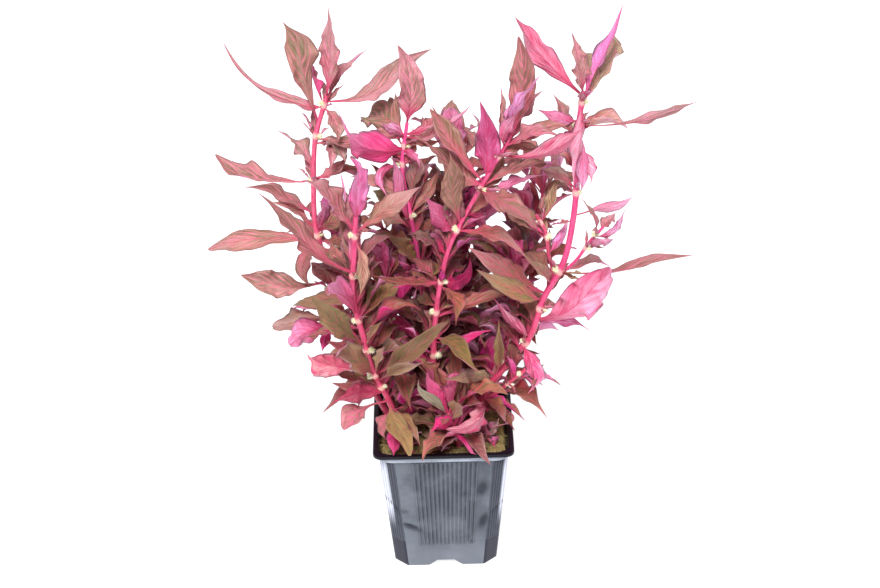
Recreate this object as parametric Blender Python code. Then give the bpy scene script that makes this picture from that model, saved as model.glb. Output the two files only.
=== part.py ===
"""Alternanthera reineckii, a red aquarium stem plant, growing out of a square nursery pot.

Metres, +Z up. The origin is on the surface that the pot stands on, under its middle; +X is to the
right and +Y to the back. The front stems and their leaves are laid out on a drawing of the plant seen
from the front and 28 degrees above; the stems at the back are laid out directly in space.
"""

import math
import random

import bmesh
import bpy
from mathutils import Matrix, Vector
from mathutils.bvhtree import BVHTree

MM = 0.001
GAP = 0.35 * MM

# The pot: a square nursery pot of the 9 cm size.
POT_HEIGHT = 94 * MM
FLANGE_HALF = 46.5 * MM
FLANGE_DEPTH = 2.4 * MM
FLANGE_CORNER = 6 * MM
COLLAR_HALF = 44.4 * MM
COLLAR_DEPTH = 4.4 * MM
WALL_TOP_HALF = 43 * MM
WALL_BASE_HALF = 34.4 * MM
CHAMFER_TOP = 10 * MM
CHAMFER_BASE = 8.6 * MM
WALL = 1.3 * MM
FLOOR_UNDERSIDE = 4.2 * MM
FLOOR = 1.6 * MM
FOOT_WIDTH = 2.4 * MM
NOTCH_WIDTH = 24 * MM
NOTCH_TOP_WIDTH = 11.5 * MM
NOTCH_HEIGHT = 3.8 * MM
DRAIN_RADIUS = 3.6 * MM
DRAIN_OFFSET = 17 * MM

# The growing medium that fills the pot.
MEDIUM_TOP = 89.5 * MM
MEDIUM_LUMPS = 0.9 * MM
SOCKET_DEPTH = 5 * MM
FOOT_RISE = 2.5 * MM

# Stems, leaves and flower heads. A fused leaf's root goes ROOT_SINK of the stem's radius past its axis,
# and a flower head stands half its radius clear of the stem's side.
STEM_STEP = 30 * MM
NODE_SWELL = 1.35
LEAF_KEEL = 0.9 * MM
LEAF_DROOP = 0.12
ROOT_SINK = 0.45
HEAD_RADIUS = 1.8 * MM
HEAD_STANDS = 0.5

# The drawing: its origin is in the middle of the pot's front top edge, this far in front of the pot's axis,
# and its lines of sight meet at an eye in front of the plant and above it.
DRAWING_FRONT = 45.6 * MM
SIGHT_TILT = math.radians(28)
EYE_DISTANCE = 1600 * MM
EYE_UP = 105.5 * MM

# Each front stem: its route on the drawing as (across, up, depth) in mm, its radius at the foot and at
# the tip, and the heights on the drawing of the nodes that carry flower heads.
FRONT_STEMS = {
    "stem_1": ([(-34, 21, 4), (-47, 47, 8), (-60, 70, 12), (-68, 97, 16), (-73, 119, 19), (-77, 144, 21),
                (-81, 156, 22), (-81, 181, 24), (-79, 211, 26), (-76, 227, 27), (-71, 237, 28)],
               (2.2, 1.2), [88, 111, 146, 181, 211, 231]),
    "stem_2": ([(-27, 12, -17), (-33, 30, -20), (-38, 46, -23), (-45, 56, -27), (-48, 73, -31),
                (-55, 90, -34), (-58, 119, -38), (-56, 130, -39), (-52, 145, -40), (-54, 158, -40)],
               (2.2, 1.3), [46, 54, 70, 90, 119, 145]),
    "stem_3": ([(-6, 20, 4), (-8, 46, 6), (-8, 69, 8), (-11, 104, 10), (-15, 140, 12), (-18, 157, 13),
                (-21, 172, 14), (-23, 191, 15), (-24, 203, 16), (-19, 218, 17)],
               (2.3, 1.2), [87, 121, 157, 191, 203]),
    "stem_4": ([(-6, 13, -13), (-7, 33, -15), (-5, 66, -19), (-3, 94, -22), (1, 115, -24), (4, 128, -24),
                (12, 148, -24), (18, 157, -24), (26, 174, -23), (38, 188, -22), (42, 195, -21),
                (49, 208, -20)],
               (2.3, 1.2), [66, 94, 114, 147, 174, 195]),
    "stem_5": ([(19, 17, 0), (24, 36, -4), (33, 46, -8), (48, 65, -13), (57, 73, -15), (64, 94, -18),
                (74, 111, -19), (80, 122, -19), (83, 129, -19), (88, 151, -18), (91, 171, -16),
                (93, 225, -8), (97, 236, -6)],
               (2.6, 1.3), [46, 73, 95, 119, 170, 213, 229]),
    "shoot_right": ([(96, 135, -22), (105, 142, -24), (108, 147, -25)], (1.2, 0.9), [134, 142]),
    "shoot_left": ([(71, 141, -16), (66, 151, -14), (64, 156, -14)], (1.2, 0.9), [141, 151]),
    "shoot_low": ([(40, 44, -19), (51, 51, -25), (54, 54, -27)], (1.1, 0.8), [46, 52]),
}

# The side shoots: the stem that each grows out of, and the height on the drawing where it does.
SHOOT_ROOTS = {"shoot_right": ("stem_5", 122), "shoot_left": ("stem_5", 118), "shoot_low": ("stem_5", 41)}
SHOOT_KNEE = 2.5 * MM

# Each stem behind and between them: its route in space as (x, y, z) in mm, its radii, and the angle
# round the stem at which its first pair of leaves stands.
BACK_STEMS = {
    "stem_6": ([(-18, 20, 86), (-22, 32, 120), (-26, 46, 165), (-22, 60, 220)], (2.0, 1.1), 20),
    "stem_7": ([(10, 22, 86), (16, 36, 120), (19, 52, 175), (10, 68, 250)], (2.1, 1.1), 70),
    "stem_8": ([(30, 18, 86), (40, 30, 120), (56, 46, 170), (70, 60, 232)], (2.0, 1.1), 115),
    "stem_9": ([(-31, 24, 86), (-42, 38, 112), (-56, 54, 148), (-66, 70, 190)], (1.9, 1.0), 40),
    "stem_10": ([(-4, 33, 86), (-6, 50, 112), (-8, 68, 152), (-12, 80, 204)], (1.9, 1.0), 10),
    "stem_11": ([(30, 32, 86), (40, 50, 112), (52, 66, 144), (62, 78, 182)], (1.8, 1.0), 85),
    "stem_12": ([(10, -28, 86), (8, -36, 104), (4, -42, 124)], (1.7, 1.0), 60),
    "stem_13": ([(20, 12, 86), (32, 12, 118), (42, 8, 155), (50, 4, 192)], (1.8, 1.0), 0),
    "stem_14": ([(-20, -4, 86), (-26, -4, 118), (-32, -2, 155), (-34, 2, 200)], (1.8, 1.0), 50),
}

# The rule for the leaves on those stems, in mm and degrees: the distance between the nodes, and the
# lengths, widths and rises of the leaves at the foot and at the tip of a stem.
NODE_SPACING = 24
FIRST_NODE = 14
HEAD_TURN = 55
LEAF_LENGTHS = (56, 46)
LEAF_WIDTHS = (22, 17)
LEAF_RISES = (5, 62)
TIP_LEAVES = 4
BACK_TONES = ("copper", "olive", "copper", "rose", "magenta")

# Leaf colours by name, as the base colour of the upper face in the light.
LEAF_TONES = {
    "copper": (0.36, 0.15, 0.11),
    "olive": (0.27, 0.19, 0.10),
    "ochre": (0.45, 0.28, 0.13),
    "sage": (0.46, 0.44, 0.33),
    "rose": (0.60, 0.22, 0.25),
    "magenta": (0.70, 0.06, 0.24),
    "pink": (0.86, 0.32, 0.48),
    "lilac": (0.72, 0.42, 0.56),
    "plum": (0.28, 0.02, 0.09),
}
STEM_COLOUR = (0.80, 0.10, 0.26)
HEAD_COLOUR = (0.80, 0.80, 0.62)
POT_COLOUR = (0.035, 0.036, 0.042)
MEDIUM_COLOUR = (0.30, 0.22, 0.08)

# The leaves of the front stems. Each row: the stem, the height on the drawing where the leaf leaves it,
# the tip as (across, up, depth), how far the middle bows off the straight line as (across, up), the
# width, the degrees that the upper face is turned away from the eye, the colour, and the name of the
# leaves that are solids of their own. Lengths are in mm. The leaves nearest the eye come first.
FRONT_LEAVES = [
    ("stem_2", 37, (-22, 0, -88), (-1, 0), 15, 15, "ochre", "leaf_front_yellow"),
    ("stem_5", 36, (2, 17, -86), (9, -4), 14, 165, "pink", "leaf_front_pink"),
    ("stem_2", 52, (3, 87, -92), (1, -2), 20, 25, "olive", "leaf_middle_olive"),
    ("stem_2", 69, (-85, 106, -94), (1, -3), 14, 25, "olive", "leaf_left_olive"),
    ("stem_4", 77, (27, 53, -84), (-2, 4), 20, 30, "olive", "leaf_middle_right_olive"),
    ("stem_2", 52, (-88, 68, -45), (-1, -3), 18, 165, "pink", "leaf_low_left_pink"),
    ("stem_2", 36, (-65, 18, -50), (-2, 4), 20, 30, "rose", "leaf_low_left_dusty"),
    ("stem_5", 47, (38, 89, -50), (2, 0), 9, 20, "ochre", "leaf_right_low_tan"),
    ("stem_2", 119, (-118, 175, -50), (2, -8), 20, 30, "copper", "leaf_left_long"),
    ("stem_2", 90, (-73, 113, -86), (0, 3), 18, 165, "magenta", "leaf_left_pink"),
    ("stem_2", 147, (-57, 196, -45), (3, -1), 12, 170, "pink", "leaf_left_spire"),
    ("stem_2", 145, (-89, 182, -55), (3, 2), 17, 30, "copper", "leaf_left_orange"),
    ("stem_2", 144, (-11, 176, -25), (-1, 1), 18, 30, "olive", "leaf_middle_left_broad"),
    ("stem_4", 148, (8, 199, -45), (-1, 0), 18, 20, "olive", "leaf_middle_upright"),
    ("stem_4", 172, (65, 146, -76), (-3, 5), 17, 25, "copper", "leaf_middle_right_brown"),
    ("stem_4", 146, (57, 128, -50), (0, 5), 15, 30, "copper", "leaf_middle_right_rust"),
    ("stem_5", 82, (112, 120, -66), (3, -5), 22, 168, "pink", "leaf_right_pink_large"),
    ("stem_5", 72, (56, 39, -45), (5, 0), 14, 165, "pink", "leaf_right_low_pink"),
    ("stem_5", 103, (19, 136, -20), (2, -3), 20, 25, "copper", "leaf_middle_right_broad"),
    ("stem_5", 116, (167, 127, -62), (0, -3), 13, 40, "rose", "leaf_far_right_lower"),
    ("stem_5", 213, (172, 228, -62), (3, -4), 9, 40, "lilac", "leaf_far_right_upper"),
    ("stem_5", 225, (94, 171, -32), (4, 0), 12, 165, "pink", "leaf_right_pink_hanging"),
    ("stem_5", 231, (53, 286, -5), (-4, 3), 20, 168, "pink", "leaf_top_right_pink"),
    ("stem_5", 233, (90, 275, -25), (1, 0), 16, 25, "copper", "leaf_top_right"),
    ("stem_4", 193, (96, 212, -50), (1, -7), 20, 165, "pink", "leaf_right_pink_broad"),
    ("stem_4", 204, (55, 273, -25), (3, 0), 18, 20, "copper", "leaf_top_right_broad"),
    ("stem_4", 177, (29, 231, -15), (3, -3), 14, 165, "magenta", "leaf_top_middle_magenta"),
    ("stem_4", 177, (-16, 211, 5), (5, -8), 24, 20, "copper", "leaf_middle_broad"),
    ("stem_4", 113, (20, 129, -5), (3, -7), 18, 165, "plum", "leaf_middle_wine"),
    ("stem_3", 199, (-67, 231, -20), (8, -8), 22, 172, "magenta", "leaf_middle_left_magenta"),
    ("stem_3", 211, (-24, 269, 10), (8, 3), 16, 25, "rose", "leaf_top_middle"),
    ("stem_3", 209, (26, 238, 10), (4, -8), 10, 130, "magenta", "leaf_top_middle_thin"),
    ("stem_3", 121, (-37, 148, 2), (3, -1), 15, 30, "olive", "leaf_middle_left_olive"),
    ("stem_1", 111, (-130, 121, 5), (0, -5), 18, 30, "rose", "leaf_far_left_lower"),
    ("stem_1", 142, (-151, 138, 70), (0, 5), 20, 35, "rose", "leaf_far_left_middle"),
    ("stem_1", 87, (-99, 74, 0), (0, 4), 14, 165, "magenta", "leaf_low_left_rose"),
    ("stem_1", 181, (-145, 200, 60), (1, -4), 20, 30, "rose", "leaf_far_left_upper"),
    ("stem_1", 234, (-69, 297, 22), (2, 0), 13, 20, "rose", "leaf_top_left"),
    ("stem_1", 214, (-100, 287, 10), (3, 0), 22, 25, "copper", "leaf_upper_left_broad"),
    ("stem_1", 229, (-138, 273, 30), (5, -9), 10, 40, "rose", "leaf_upper_left_long"),
    ("stem_1", 231, (-2, 266, 40), (1, -7), 14, 35, "copper", "leaf_upper_left_wavy"),

    ("stem_1", 234, (-85, 268, 40), (-1, 0), 11, 100, "magenta", ""),
    ("stem_1", 234, (-44, 267, 50), (-1, 3), 10, 40, "copper", ""),
    ("stem_1", 229, (-65, 206, 5), (3, 2), 9, 30, "copper", ""),
    ("stem_1", 190, (-104, 215, 40), (3, 1), 11, 40, "copper", ""),
    ("stem_1", 181, (-39, 178, 55), (1, 7), 17, 30, "copper", ""),
    ("stem_1", 150, (-83, 168, 36), (-2, 0), 10, 60, "copper", ""),
    ("stem_1", 150, (-79, 169, 5), (5, 0), 10, 160, "plum", ""),
    ("stem_1", 148, (-54, 155, 40), (0, 3), 17, 30, "copper", ""),
    ("stem_1", 142, (-53, 135, 10), (0, 2), 12, 40, "copper", ""),
    ("stem_1", 142, (-85, 113, 0), (-7, 0), 11, 20, "copper", ""),
    ("stem_1", 139, (-58, 117, 0), (2, 1), 12, 30, "olive", ""),
    ("stem_1", 103, (-98, 98, 20), (0, 0), 7, 150, "magenta", ""),
    ("stem_1", 89, (-110, 86, 30), (0, 3), 13, 40, "olive", ""),
    ("stem_1", 89, (-78, 69, -5), (-3, 0), 8, 150, "magenta", ""),

    ("stem_2", 147, (-63, 187, -30), (-2, -4), 12, 30, "pink", ""),
    ("stem_2", 143, (-53, 104, -70), (4, 0), 9, 30, "ochre", ""),
    ("stem_2", 119, (-71, 142, -12), (0, 0), 14, 40, "copper", ""),
    ("stem_2", 90, (-23, 114, -5), (0, 3), 17, 40, "olive", ""),
    ("stem_2", 69, (-23, 86, 0), (0, 0), 15, 40, "olive", ""),
    ("stem_2", 54, (-69, 66, -98), (0, 4), 13, 30, "olive", ""),
    ("stem_2", 50, (-12, 61, -104), (0, 2), 11, 30, "ochre", ""),
    ("stem_2", 53, (-37, 72, -55), (-1, 0), 9, 50, "ochre", ""),
    ("stem_2", 73, (-37, 89, -52), (-2, 0), 9, 40, "ochre", ""),
    ("stem_2", 46, (-72, 49, -30), (0, -3), 13, 30, "copper", ""),
    ("stem_2", 42, (-73, 35, -60), (0, 3), 14, 160, "rose", ""),
    ("stem_2", 32, (-15, 6, -55), (3, 0), 9, 30, "ochre", ""),
    ("stem_2", 30, (-38, 11, -46), (-3, 0), 11, 40, "rose", ""),
    ("stem_2", 24, (-33, 0, -52), (0, 0), 9, 165, "magenta", ""),

    ("stem_3", 207, (-49, 219, 45), (0, 9), 23, 30, "copper", ""),
    ("stem_3", 209, (-36, 219, 0), (0, 0), 8, 150, "pink", ""),
    ("stem_3", 190, (-30, 166, -12), (-10, 7), 9, 165, "magenta", ""),
    ("stem_3", 200, (-11, 188, -8), (0, 3), 8, 160, "magenta", ""),
    ("stem_3", 159, (2, 188, 30), (0, -3), 12, 30, "copper", ""),
    ("stem_3", 158, (-43, 174, 40), (0, 3), 17, 40, "olive", ""),
    ("stem_3", 117, (-27, 128, -12), (0, 0), 7, 160, "magenta", ""),
    ("stem_3", 115, (-1, 130, 35), (0, 0), 7, 150, "rose", ""),
    ("stem_3", 85, (-15, 110, -8), (-7, 0), 9, 100, "pink", ""),
    ("stem_3", 87, (-42, 102, 40), (0, 0), 17, 40, "copper", ""),
    ("stem_3", 72, (-42, 96, -8), (0, 2), 12, 165, "magenta", ""),
    ("stem_3", 53, (19, 81, 40), (0, 0), 17, 40, "olive", ""),

    ("stem_4", 204, (70, 248, -5), (-5, 0), 12, 120, "magenta", ""),
    ("stem_4", 205, (70, 237, 15), (-3, 0), 13, 40, "copper", ""),
    ("stem_4", 202, (82, 206, -35), (0, 4), 14, 30, "copper", ""),
    ("stem_4", 195, (23, 224, 15), (-1, 0), 12, 40, "copper", ""),
    ("stem_4", 175, (80, 187, -15), (-1, 5), 13, 30, "copper", ""),
    ("stem_4", 174, (72, 182, 0), (0, -2), 11, 110, "pink", ""),
    ("stem_4", 146, (-9, 170, -15), (1, -3), 15, 165, "plum", ""),
    ("stem_4", 157, (29, 141, -10), (4, 4), 11, 165, "plum", ""),
    ("stem_4", 113, (-45, 119, -50), (0, -3), 10, 40, "copper", ""),
    ("stem_4", 111, (10, 84, -60), (4, 4), 14, 25, "copper", ""),
    ("stem_4", 94, (-20, 99, 15), (0, 3), 10, 40, "ochre", ""),
    ("stem_4", 92, (30, 100, 5), (0, 4), 15, 40, "copper", ""),
    ("stem_4", 75, (34, 81, -50), (-1, -3), 7, 165, "magenta", ""),
    ("stem_4", 61, (-27, 76, -5), (0, 0), 14, 160, "plum", ""),

    ("stem_12", 38, (-10, 55, -50), (-1, 0), 12, 165, "magenta", ""),
    ("stem_12", 32, (-15, 50, -84), (-2, 0), 7, 30, "sage", ""),
    ("stem_12", 30, (14, 31, -98), (0, 2), 12, 40, "olive", ""),
    ("stem_12", 20, (-10, 12, -58), (4, 5), 9, 160, "magenta", ""),
    ("stem_12", 16, (22, 0, -62), (-1, 0), 6, 150, "magenta", ""),

    ("stem_5", 233, (124, 292, 10), (-1, -4), 12, 120, "magenta", ""),
    ("stem_5", 230, (117, 273, 35), (3, -1), 19, 35, "olive", ""),
    ("stem_5", 211, (125, 211, -30), (0, 4), 12, 35, "copper", ""),
    ("stem_5", 212, (80, 183, 10), (-3, 3), 13, 160, "pink", ""),
    ("stem_5", 155, (127, 166, 5), (0, -1), 9, 160, "pink", ""),
    ("stem_5", 152, (72, 148, -8), (0, 0), 5, 60, "lilac", ""),
    ("stem_5", 170, (77, 174, 15), (0, 0), 7, 60, "lilac", ""),
    ("stem_5", 119, (112, 121, 25), (0, 3), 11, 35, "rose", ""),
    ("stem_5", 111, (53, 133, -45), (3, -3), 10, 30, "ochre", ""),
    ("stem_5", 100, (24, 121, -50), (2, -3), 14, 30, "olive", ""),
    ("stem_5", 86, (98, 79, -25), (0, 4), 10, 160, "rose", ""),
    ("stem_5", 77, (34, 103, -45), (0, -3), 12, 160, "rose", ""),
    ("stem_5", 73, (42, 85, -5), (0, 0), 13, 160, "plum", ""),
    ("stem_5", 47, (0, 50, -94), (0, 3), 11, 30, "ochre", ""),
    ("stem_5", 46, (21, 56, -52), (0, 0), 9, 40, "ochre", ""),
    ("stem_5", 41, (43, 19, -50), (2, 1), 11, 25, "copper", ""),
    ("stem_5", 34, (47, 15, -42), (1, 3), 9, 30, "plum", ""),
    ("stem_5", 38, (54, 21, -30), (0, 3), 11, 100, "magenta", ""),

    ("shoot_right", 143, (94, 167, -20), (2, 0), 7, 40, "plum", ""),
    ("shoot_right", 141, (123, 160, -35), (5, -5), 8, 150, "lilac", ""),
    ("shoot_right", 144, (116, 156, -20), (0, 0), 9, 35, "copper", ""),
    ("shoot_right", 136, (114, 139, -40), (0, -1), 7, 150, "lilac", ""),
    ("shoot_left", 142, (46, 174, -25), (-3, -2), 8, 160, "pink", ""),
    ("shoot_left", 140, (40, 164, -5), (0, 3), 17, 30, "olive", ""),
    ("shoot_left", 151, (80, 180, -5), (2, 0), 12, 30, "ochre", ""),
    ("shoot_left", 130, (85, 153, 5), (2, 0), 10, 160, "pink", ""),
    ("shoot_low", 52, (62, 66, -15), (2, -2), 9, 160, "pink", ""),
    ("shoot_low", 50, (43, 64, -30), (0, 0), 8, 150, "magenta", ""),
]

SIGHT = Vector((0, math.cos(SIGHT_TILT), -math.sin(SIGHT_TILT)))
DRAWING_UP = Vector((0, math.sin(SIGHT_TILT), math.cos(SIGHT_TILT)))
DRAWING_RIGHT = Vector((1, 0, 0))
DRAWING_ORIGIN = Vector((0, -DRAWING_FRONT, POT_HEIGHT))
EYE = DRAWING_ORIGIN + DRAWING_UP * EYE_UP - SIGHT * EYE_DISTANCE


def from_drawing(across, up, depth):
    """The point at this depth (y) that lies on the line of sight through a place on the drawing."""
    ray = DRAWING_ORIGIN + DRAWING_RIGHT * across * MM + DRAWING_UP * up * MM - EYE
    return EYE + ray * ((depth * MM - EYE.y) / ray.y)


def height_on_drawing(point):
    """How far up the drawing a point in space appears, in mm."""
    ray = point - EYE
    seen = EYE + ray * (EYE_DISTANCE / ray.dot(SIGHT))
    return (seen - DRAWING_ORIGIN).dot(DRAWING_UP) / MM


def start_scene():
    """Empty the scene and make one collection for the plant and one for what cuts or joins it."""
    for item in list(bpy.data.objects):
        bpy.data.objects.remove(item)
    plant = bpy.data.collections.new("alternanthera_reineckii")
    tools = bpy.data.collections.new("cutters")
    for group in (plant, tools):
        bpy.context.scene.collection.children.link(group)
    return plant, tools


def make_material(name, colour, roughness=0.5):
    """One Principled material of a plain colour."""
    material = bpy.data.materials.get(name)
    if material is None:
        material = bpy.data.materials.new(name)
        material.use_nodes = True
        shader = material.node_tree.nodes["Principled BSDF"]
        shader.inputs["Base Color"].default_value = (*colour, 1)
        shader.inputs["Roughness"].default_value = roughness
        shader.inputs["Metallic"].default_value = 0
    return material


def add_object(name, mesh, collection, material=None):
    """Put a mesh in a collection under its own name."""
    item = bpy.data.objects.new(name, mesh)
    collection.objects.link(item)
    if material is not None:
        mesh.materials.append(material)
    return item


def add_cutter(name, mesh, collection):
    """Put a mesh among the cutters, out of the finished plant."""
    item = add_object(name, mesh, collection)
    item.hide_render = True
    item.display_type = "WIRE"
    return item


def mesh_from(shell, name):
    """Turn a bmesh into a mesh whose faces point outwards."""
    bmesh.ops.recalc_face_normals(shell, faces=shell.faces)
    mesh = bpy.data.meshes.new(name)
    shell.to_mesh(mesh)
    shell.free()
    return mesh


def pot_ring(half, chamfer, round_corner):
    """Sixteen points round a square with cut or rounded corners, anticlockwise from the right."""
    points = []
    for quarter in range(4):
        turn = Matrix.Rotation(quarter * math.pi / 2, 2)
        for step in range(4):
            along = step / 3
            inset = Vector((along, 1 - along))
            if round_corner:
                angle = along * math.pi / 2
                inset = Vector((1 - math.cos(angle), 1 - math.sin(angle)))
            points.append(turn @ (Vector((half, half)) - inset * chamfer))
    return points


def loft(shell, rings):
    """Join rings of points, each (outline, height), with quads, and close the first and the last."""
    levels = []
    for outline, height in rings:
        levels.append([shell.verts.new((p.x, p.y, height)) for p in outline])
    count = len(levels[0])
    for lower, upper in zip(levels, levels[1:]):
        for i in range(count):
            j = (i + 1) % count
            shell.faces.new((lower[i], lower[j], upper[j], upper[i]))
    shell.faces.new(list(reversed(levels[0])))
    shell.faces.new(levels[-1])
    return levels


def make_pot(plant, tools):
    """The pot: a tapered square tub with cut corners, a collar, a flange, feet and a raised floor."""
    flange_base = POT_HEIGHT - FLANGE_DEPTH
    collar_base = flange_base - COLLAR_DEPTH
    inner_top = COLLAR_HALF - WALL
    floor_top = FLOOR_UNDERSIDE + FLOOR
    taper = (WALL_TOP_HALF - WALL_BASE_HALF) / collar_base
    floor_half = WALL_BASE_HALF - WALL + taper * floor_top
    shell = bmesh.new()
    loft(shell, [
        (pot_ring(WALL_BASE_HALF - FOOT_WIDTH, CHAMFER_BASE, False), FLOOR_UNDERSIDE),
        (pot_ring(WALL_BASE_HALF - FOOT_WIDTH, CHAMFER_BASE, False), 0),
        (pot_ring(WALL_BASE_HALF, CHAMFER_BASE, False), 0),
        (pot_ring(WALL_TOP_HALF, CHAMFER_TOP, False), collar_base),
        (pot_ring(COLLAR_HALF, CHAMFER_TOP, True), collar_base + WALL / 2),
        (pot_ring(COLLAR_HALF, CHAMFER_TOP, True), flange_base),
        (pot_ring(FLANGE_HALF, FLANGE_CORNER, True), flange_base),
        (pot_ring(FLANGE_HALF, FLANGE_CORNER, True), POT_HEIGHT - WALL / 2),
        (pot_ring(FLANGE_HALF - WALL / 2, FLANGE_CORNER, True), POT_HEIGHT),
        (pot_ring(inner_top, CHAMFER_TOP - WALL, True), POT_HEIGHT),
        (pot_ring(WALL_TOP_HALF - WALL, CHAMFER_TOP - WALL, False), collar_base),
        (pot_ring(floor_half, CHAMFER_BASE - WALL / 2, False), floor_top),
    ])
    pot = add_object("pot", mesh_from(shell, "pot"), plant, make_material("pot_plastic", POT_COLOUR, 0.38))

    cuts = bmesh.new()
    for quarter in range(4):
        turn = Matrix.Rotation(quarter * math.pi / 2, 4, "Z")
        section = [(-NOTCH_WIDTH / 2 - MM, -MM), (NOTCH_WIDTH / 2 + MM, -MM),
                   (NOTCH_TOP_WIDTH / 2, NOTCH_HEIGHT), (-NOTCH_TOP_WIDTH / 2, NOTCH_HEIGHT)]
        ends = []
        for y in (-WALL_BASE_HALF - 4 * MM, -WALL_BASE_HALF + 4 * MM):
            ends.append([cuts.verts.new(turn @ Vector((x, y, z))) for x, z in section])
        cuts.faces.new(ends[0])
        cuts.faces.new(list(reversed(ends[1])))
        for i in range(4):
            j = (i + 1) % 4
            cuts.faces.new((ends[0][j], ends[0][i], ends[1][i], ends[1][j]))
        drain = turn @ Vector((DRAIN_OFFSET, DRAIN_OFFSET, FLOOR_UNDERSIDE + FLOOR / 2))
        bmesh.ops.create_cone(cuts, cap_ends=True, segments=10, radius1=DRAIN_RADIUS, radius2=DRAIN_RADIUS,
                              depth=3 * FLOOR, matrix=Matrix.Translation(drain))
    cutter = add_cutter("pot_cuts", mesh_from(cuts, "pot_cuts"), tools)
    cut = pot.modifiers.new("feet and drain holes", "BOOLEAN")
    cut.operation = "DIFFERENCE"
    cut.object = cutter
    return pot


def make_medium(plant, tools, feet):
    """The block of fibrous medium that fills the pot, with a socket for each stem's foot."""
    noise = random.Random(5)
    collar_base = POT_HEIGHT - FLANGE_DEPTH - COLLAR_DEPTH
    taper = (WALL_TOP_HALF - WALL_BASE_HALF) / collar_base
    base = FLOOR_UNDERSIDE + FLOOR + GAP
    inset = WALL + 2 * GAP
    top_edge = MEDIUM_TOP - 2 * MM

    def outline(height, scale=1.0):
        half = WALL_BASE_HALF + taper * height - inset
        chamfer = CHAMFER_BASE + (CHAMFER_TOP - CHAMFER_BASE) * height / collar_base
        return [p * scale for p in pot_ring(half, chamfer, False)]

    shell = bmesh.new()
    rings = [(outline(base), base), (outline(top_edge), top_edge)]
    levels = loft(shell, rings + [(outline(top_edge, s), MEDIUM_TOP) for s in (0.93, 0.66, 0.36)])
    for level in levels[2:]:
        for vert in level:
            vert.co.z += noise.uniform(-1, 1) * MEDIUM_LUMPS
    medium = add_object("growing_medium", mesh_from(shell, "growing_medium"), plant,
                        make_material("medium", MEDIUM_COLOUR, 0.95))

    sockets = bmesh.new()
    for foot, radius in feet:
        place = Matrix.Translation(Vector((foot.x, foot.y, MEDIUM_TOP)))
        bmesh.ops.create_cone(sockets, cap_ends=True, segments=6, radius1=radius + 2 * GAP,
                              radius2=radius + 2 * GAP, depth=2 * SOCKET_DEPTH, matrix=place)
    cutter = add_cutter("stem_sockets", mesh_from(sockets, "stem_sockets"), tools)
    cut = medium.modifiers.new("sockets for the stems", "BOOLEAN")
    cut.operation = "DIFFERENCE"
    cut.object = cutter
    return medium


def planted(points):
    """A route whose foot stands upright in its socket before the stem leans away."""
    foot = points[0]
    low = Vector((foot.x, foot.y, MEDIUM_TOP - 0.6 * SOCKET_DEPTH))
    high = Vector((foot.x, foot.y, MEDIUM_TOP + FOOT_RISE))
    return [low, high] + points[1:]


def branched(points, root, direction, radius):
    """A shoot's route, which leaves the side of its stem squarely and then turns up beside it."""
    out = points[0] - root
    out = (out - direction * out.dot(direction)).normalized()
    start = root + out * (radius * NODE_SWELL + 2 * GAP)
    return [start, start + out * SHOOT_KNEE] + points


def smooth_route(points, spacing):
    """Points about one spacing apart on the smooth curve (Catmull-Rom) through a route's points."""
    padded = [points[0] * 2 - points[1]] + points + [points[-1] * 2 - points[-2]]
    fine = [points[0]]
    for a, b, c, d in zip(padded, padded[1:], padded[2:], padded[3:]):
        for step in range(1, 9):
            t = step / 8
            fine.append((b * 2 + (c - a) * t + (a * 2 - b * 5 + c * 4 - d) * t * t
                         + (b * 3 - a - c * 3 + d) * t * t * t) / 2)
    total = sum((b - a).length for a, b in zip(fine, fine[1:]))
    count = max(2, round(total / spacing))
    route, walked, wanted = [fine[0]], 0.0, 1
    for a, b in zip(fine, fine[1:]):
        step = (b - a).length
        while wanted < count and walked + step >= total * wanted / count:
            route.append(a.lerp(b, (total * wanted / count - walked) / step))
            wanted += 1
        walked += step
    return route + [fine[-1]]


class Stem:
    """One stem: the points of its middle line and the radius at each, its leaves and its flower heads."""

    def __init__(self, name, points, radii, node_heights=()):
        self.name = name
        self.points = points
        foot, tip = (r * MM for r in radii)
        self.radii = [foot + (tip - foot) * i / (len(points) - 1) for i in range(len(points))]
        self.heights = [height_on_drawing(p) for p in points]
        for height in node_heights:
            near = min(range(len(points)), key=lambda i: abs(self.heights[i] - height))
            self.radii[near] *= NODE_SWELL
        self.leaves = []
        self.heads = []

    def at_height(self, height):
        """The point, direction and radius where the stem crosses a height on the drawing."""
        last = len(self.points) - 2
        i = next((i for i in range(last) if self.heights[i + 1] >= height), last)
        span = self.heights[i + 1] - self.heights[i]
        t = min(0.8 if i == last else 1, max(0.2 if i == 0 else 0, (height - self.heights[i]) / span))
        point = self.points[i].lerp(self.points[i + 1], t)
        radius = self.radii[i] + (self.radii[i + 1] - self.radii[i]) * t
        return point, (self.points[i + 1] - self.points[i]).normalized(), radius

    def at_length(self, length):
        """The point, direction and radius at a distance along the stem from its foot."""
        for i in range(len(self.points) - 1):
            step = self.points[i + 1] - self.points[i]
            if length <= step.length or i == len(self.points) - 2:
                t = min(1, length / step.length)
                radius = self.radii[i] + (self.radii[i + 1] - self.radii[i]) * t
                return self.points[i] + step * t, step.normalized(), radius
            length -= step.length

    def length(self):
        return sum((b - a).length for a, b in zip(self.points, self.points[1:]))


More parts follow.
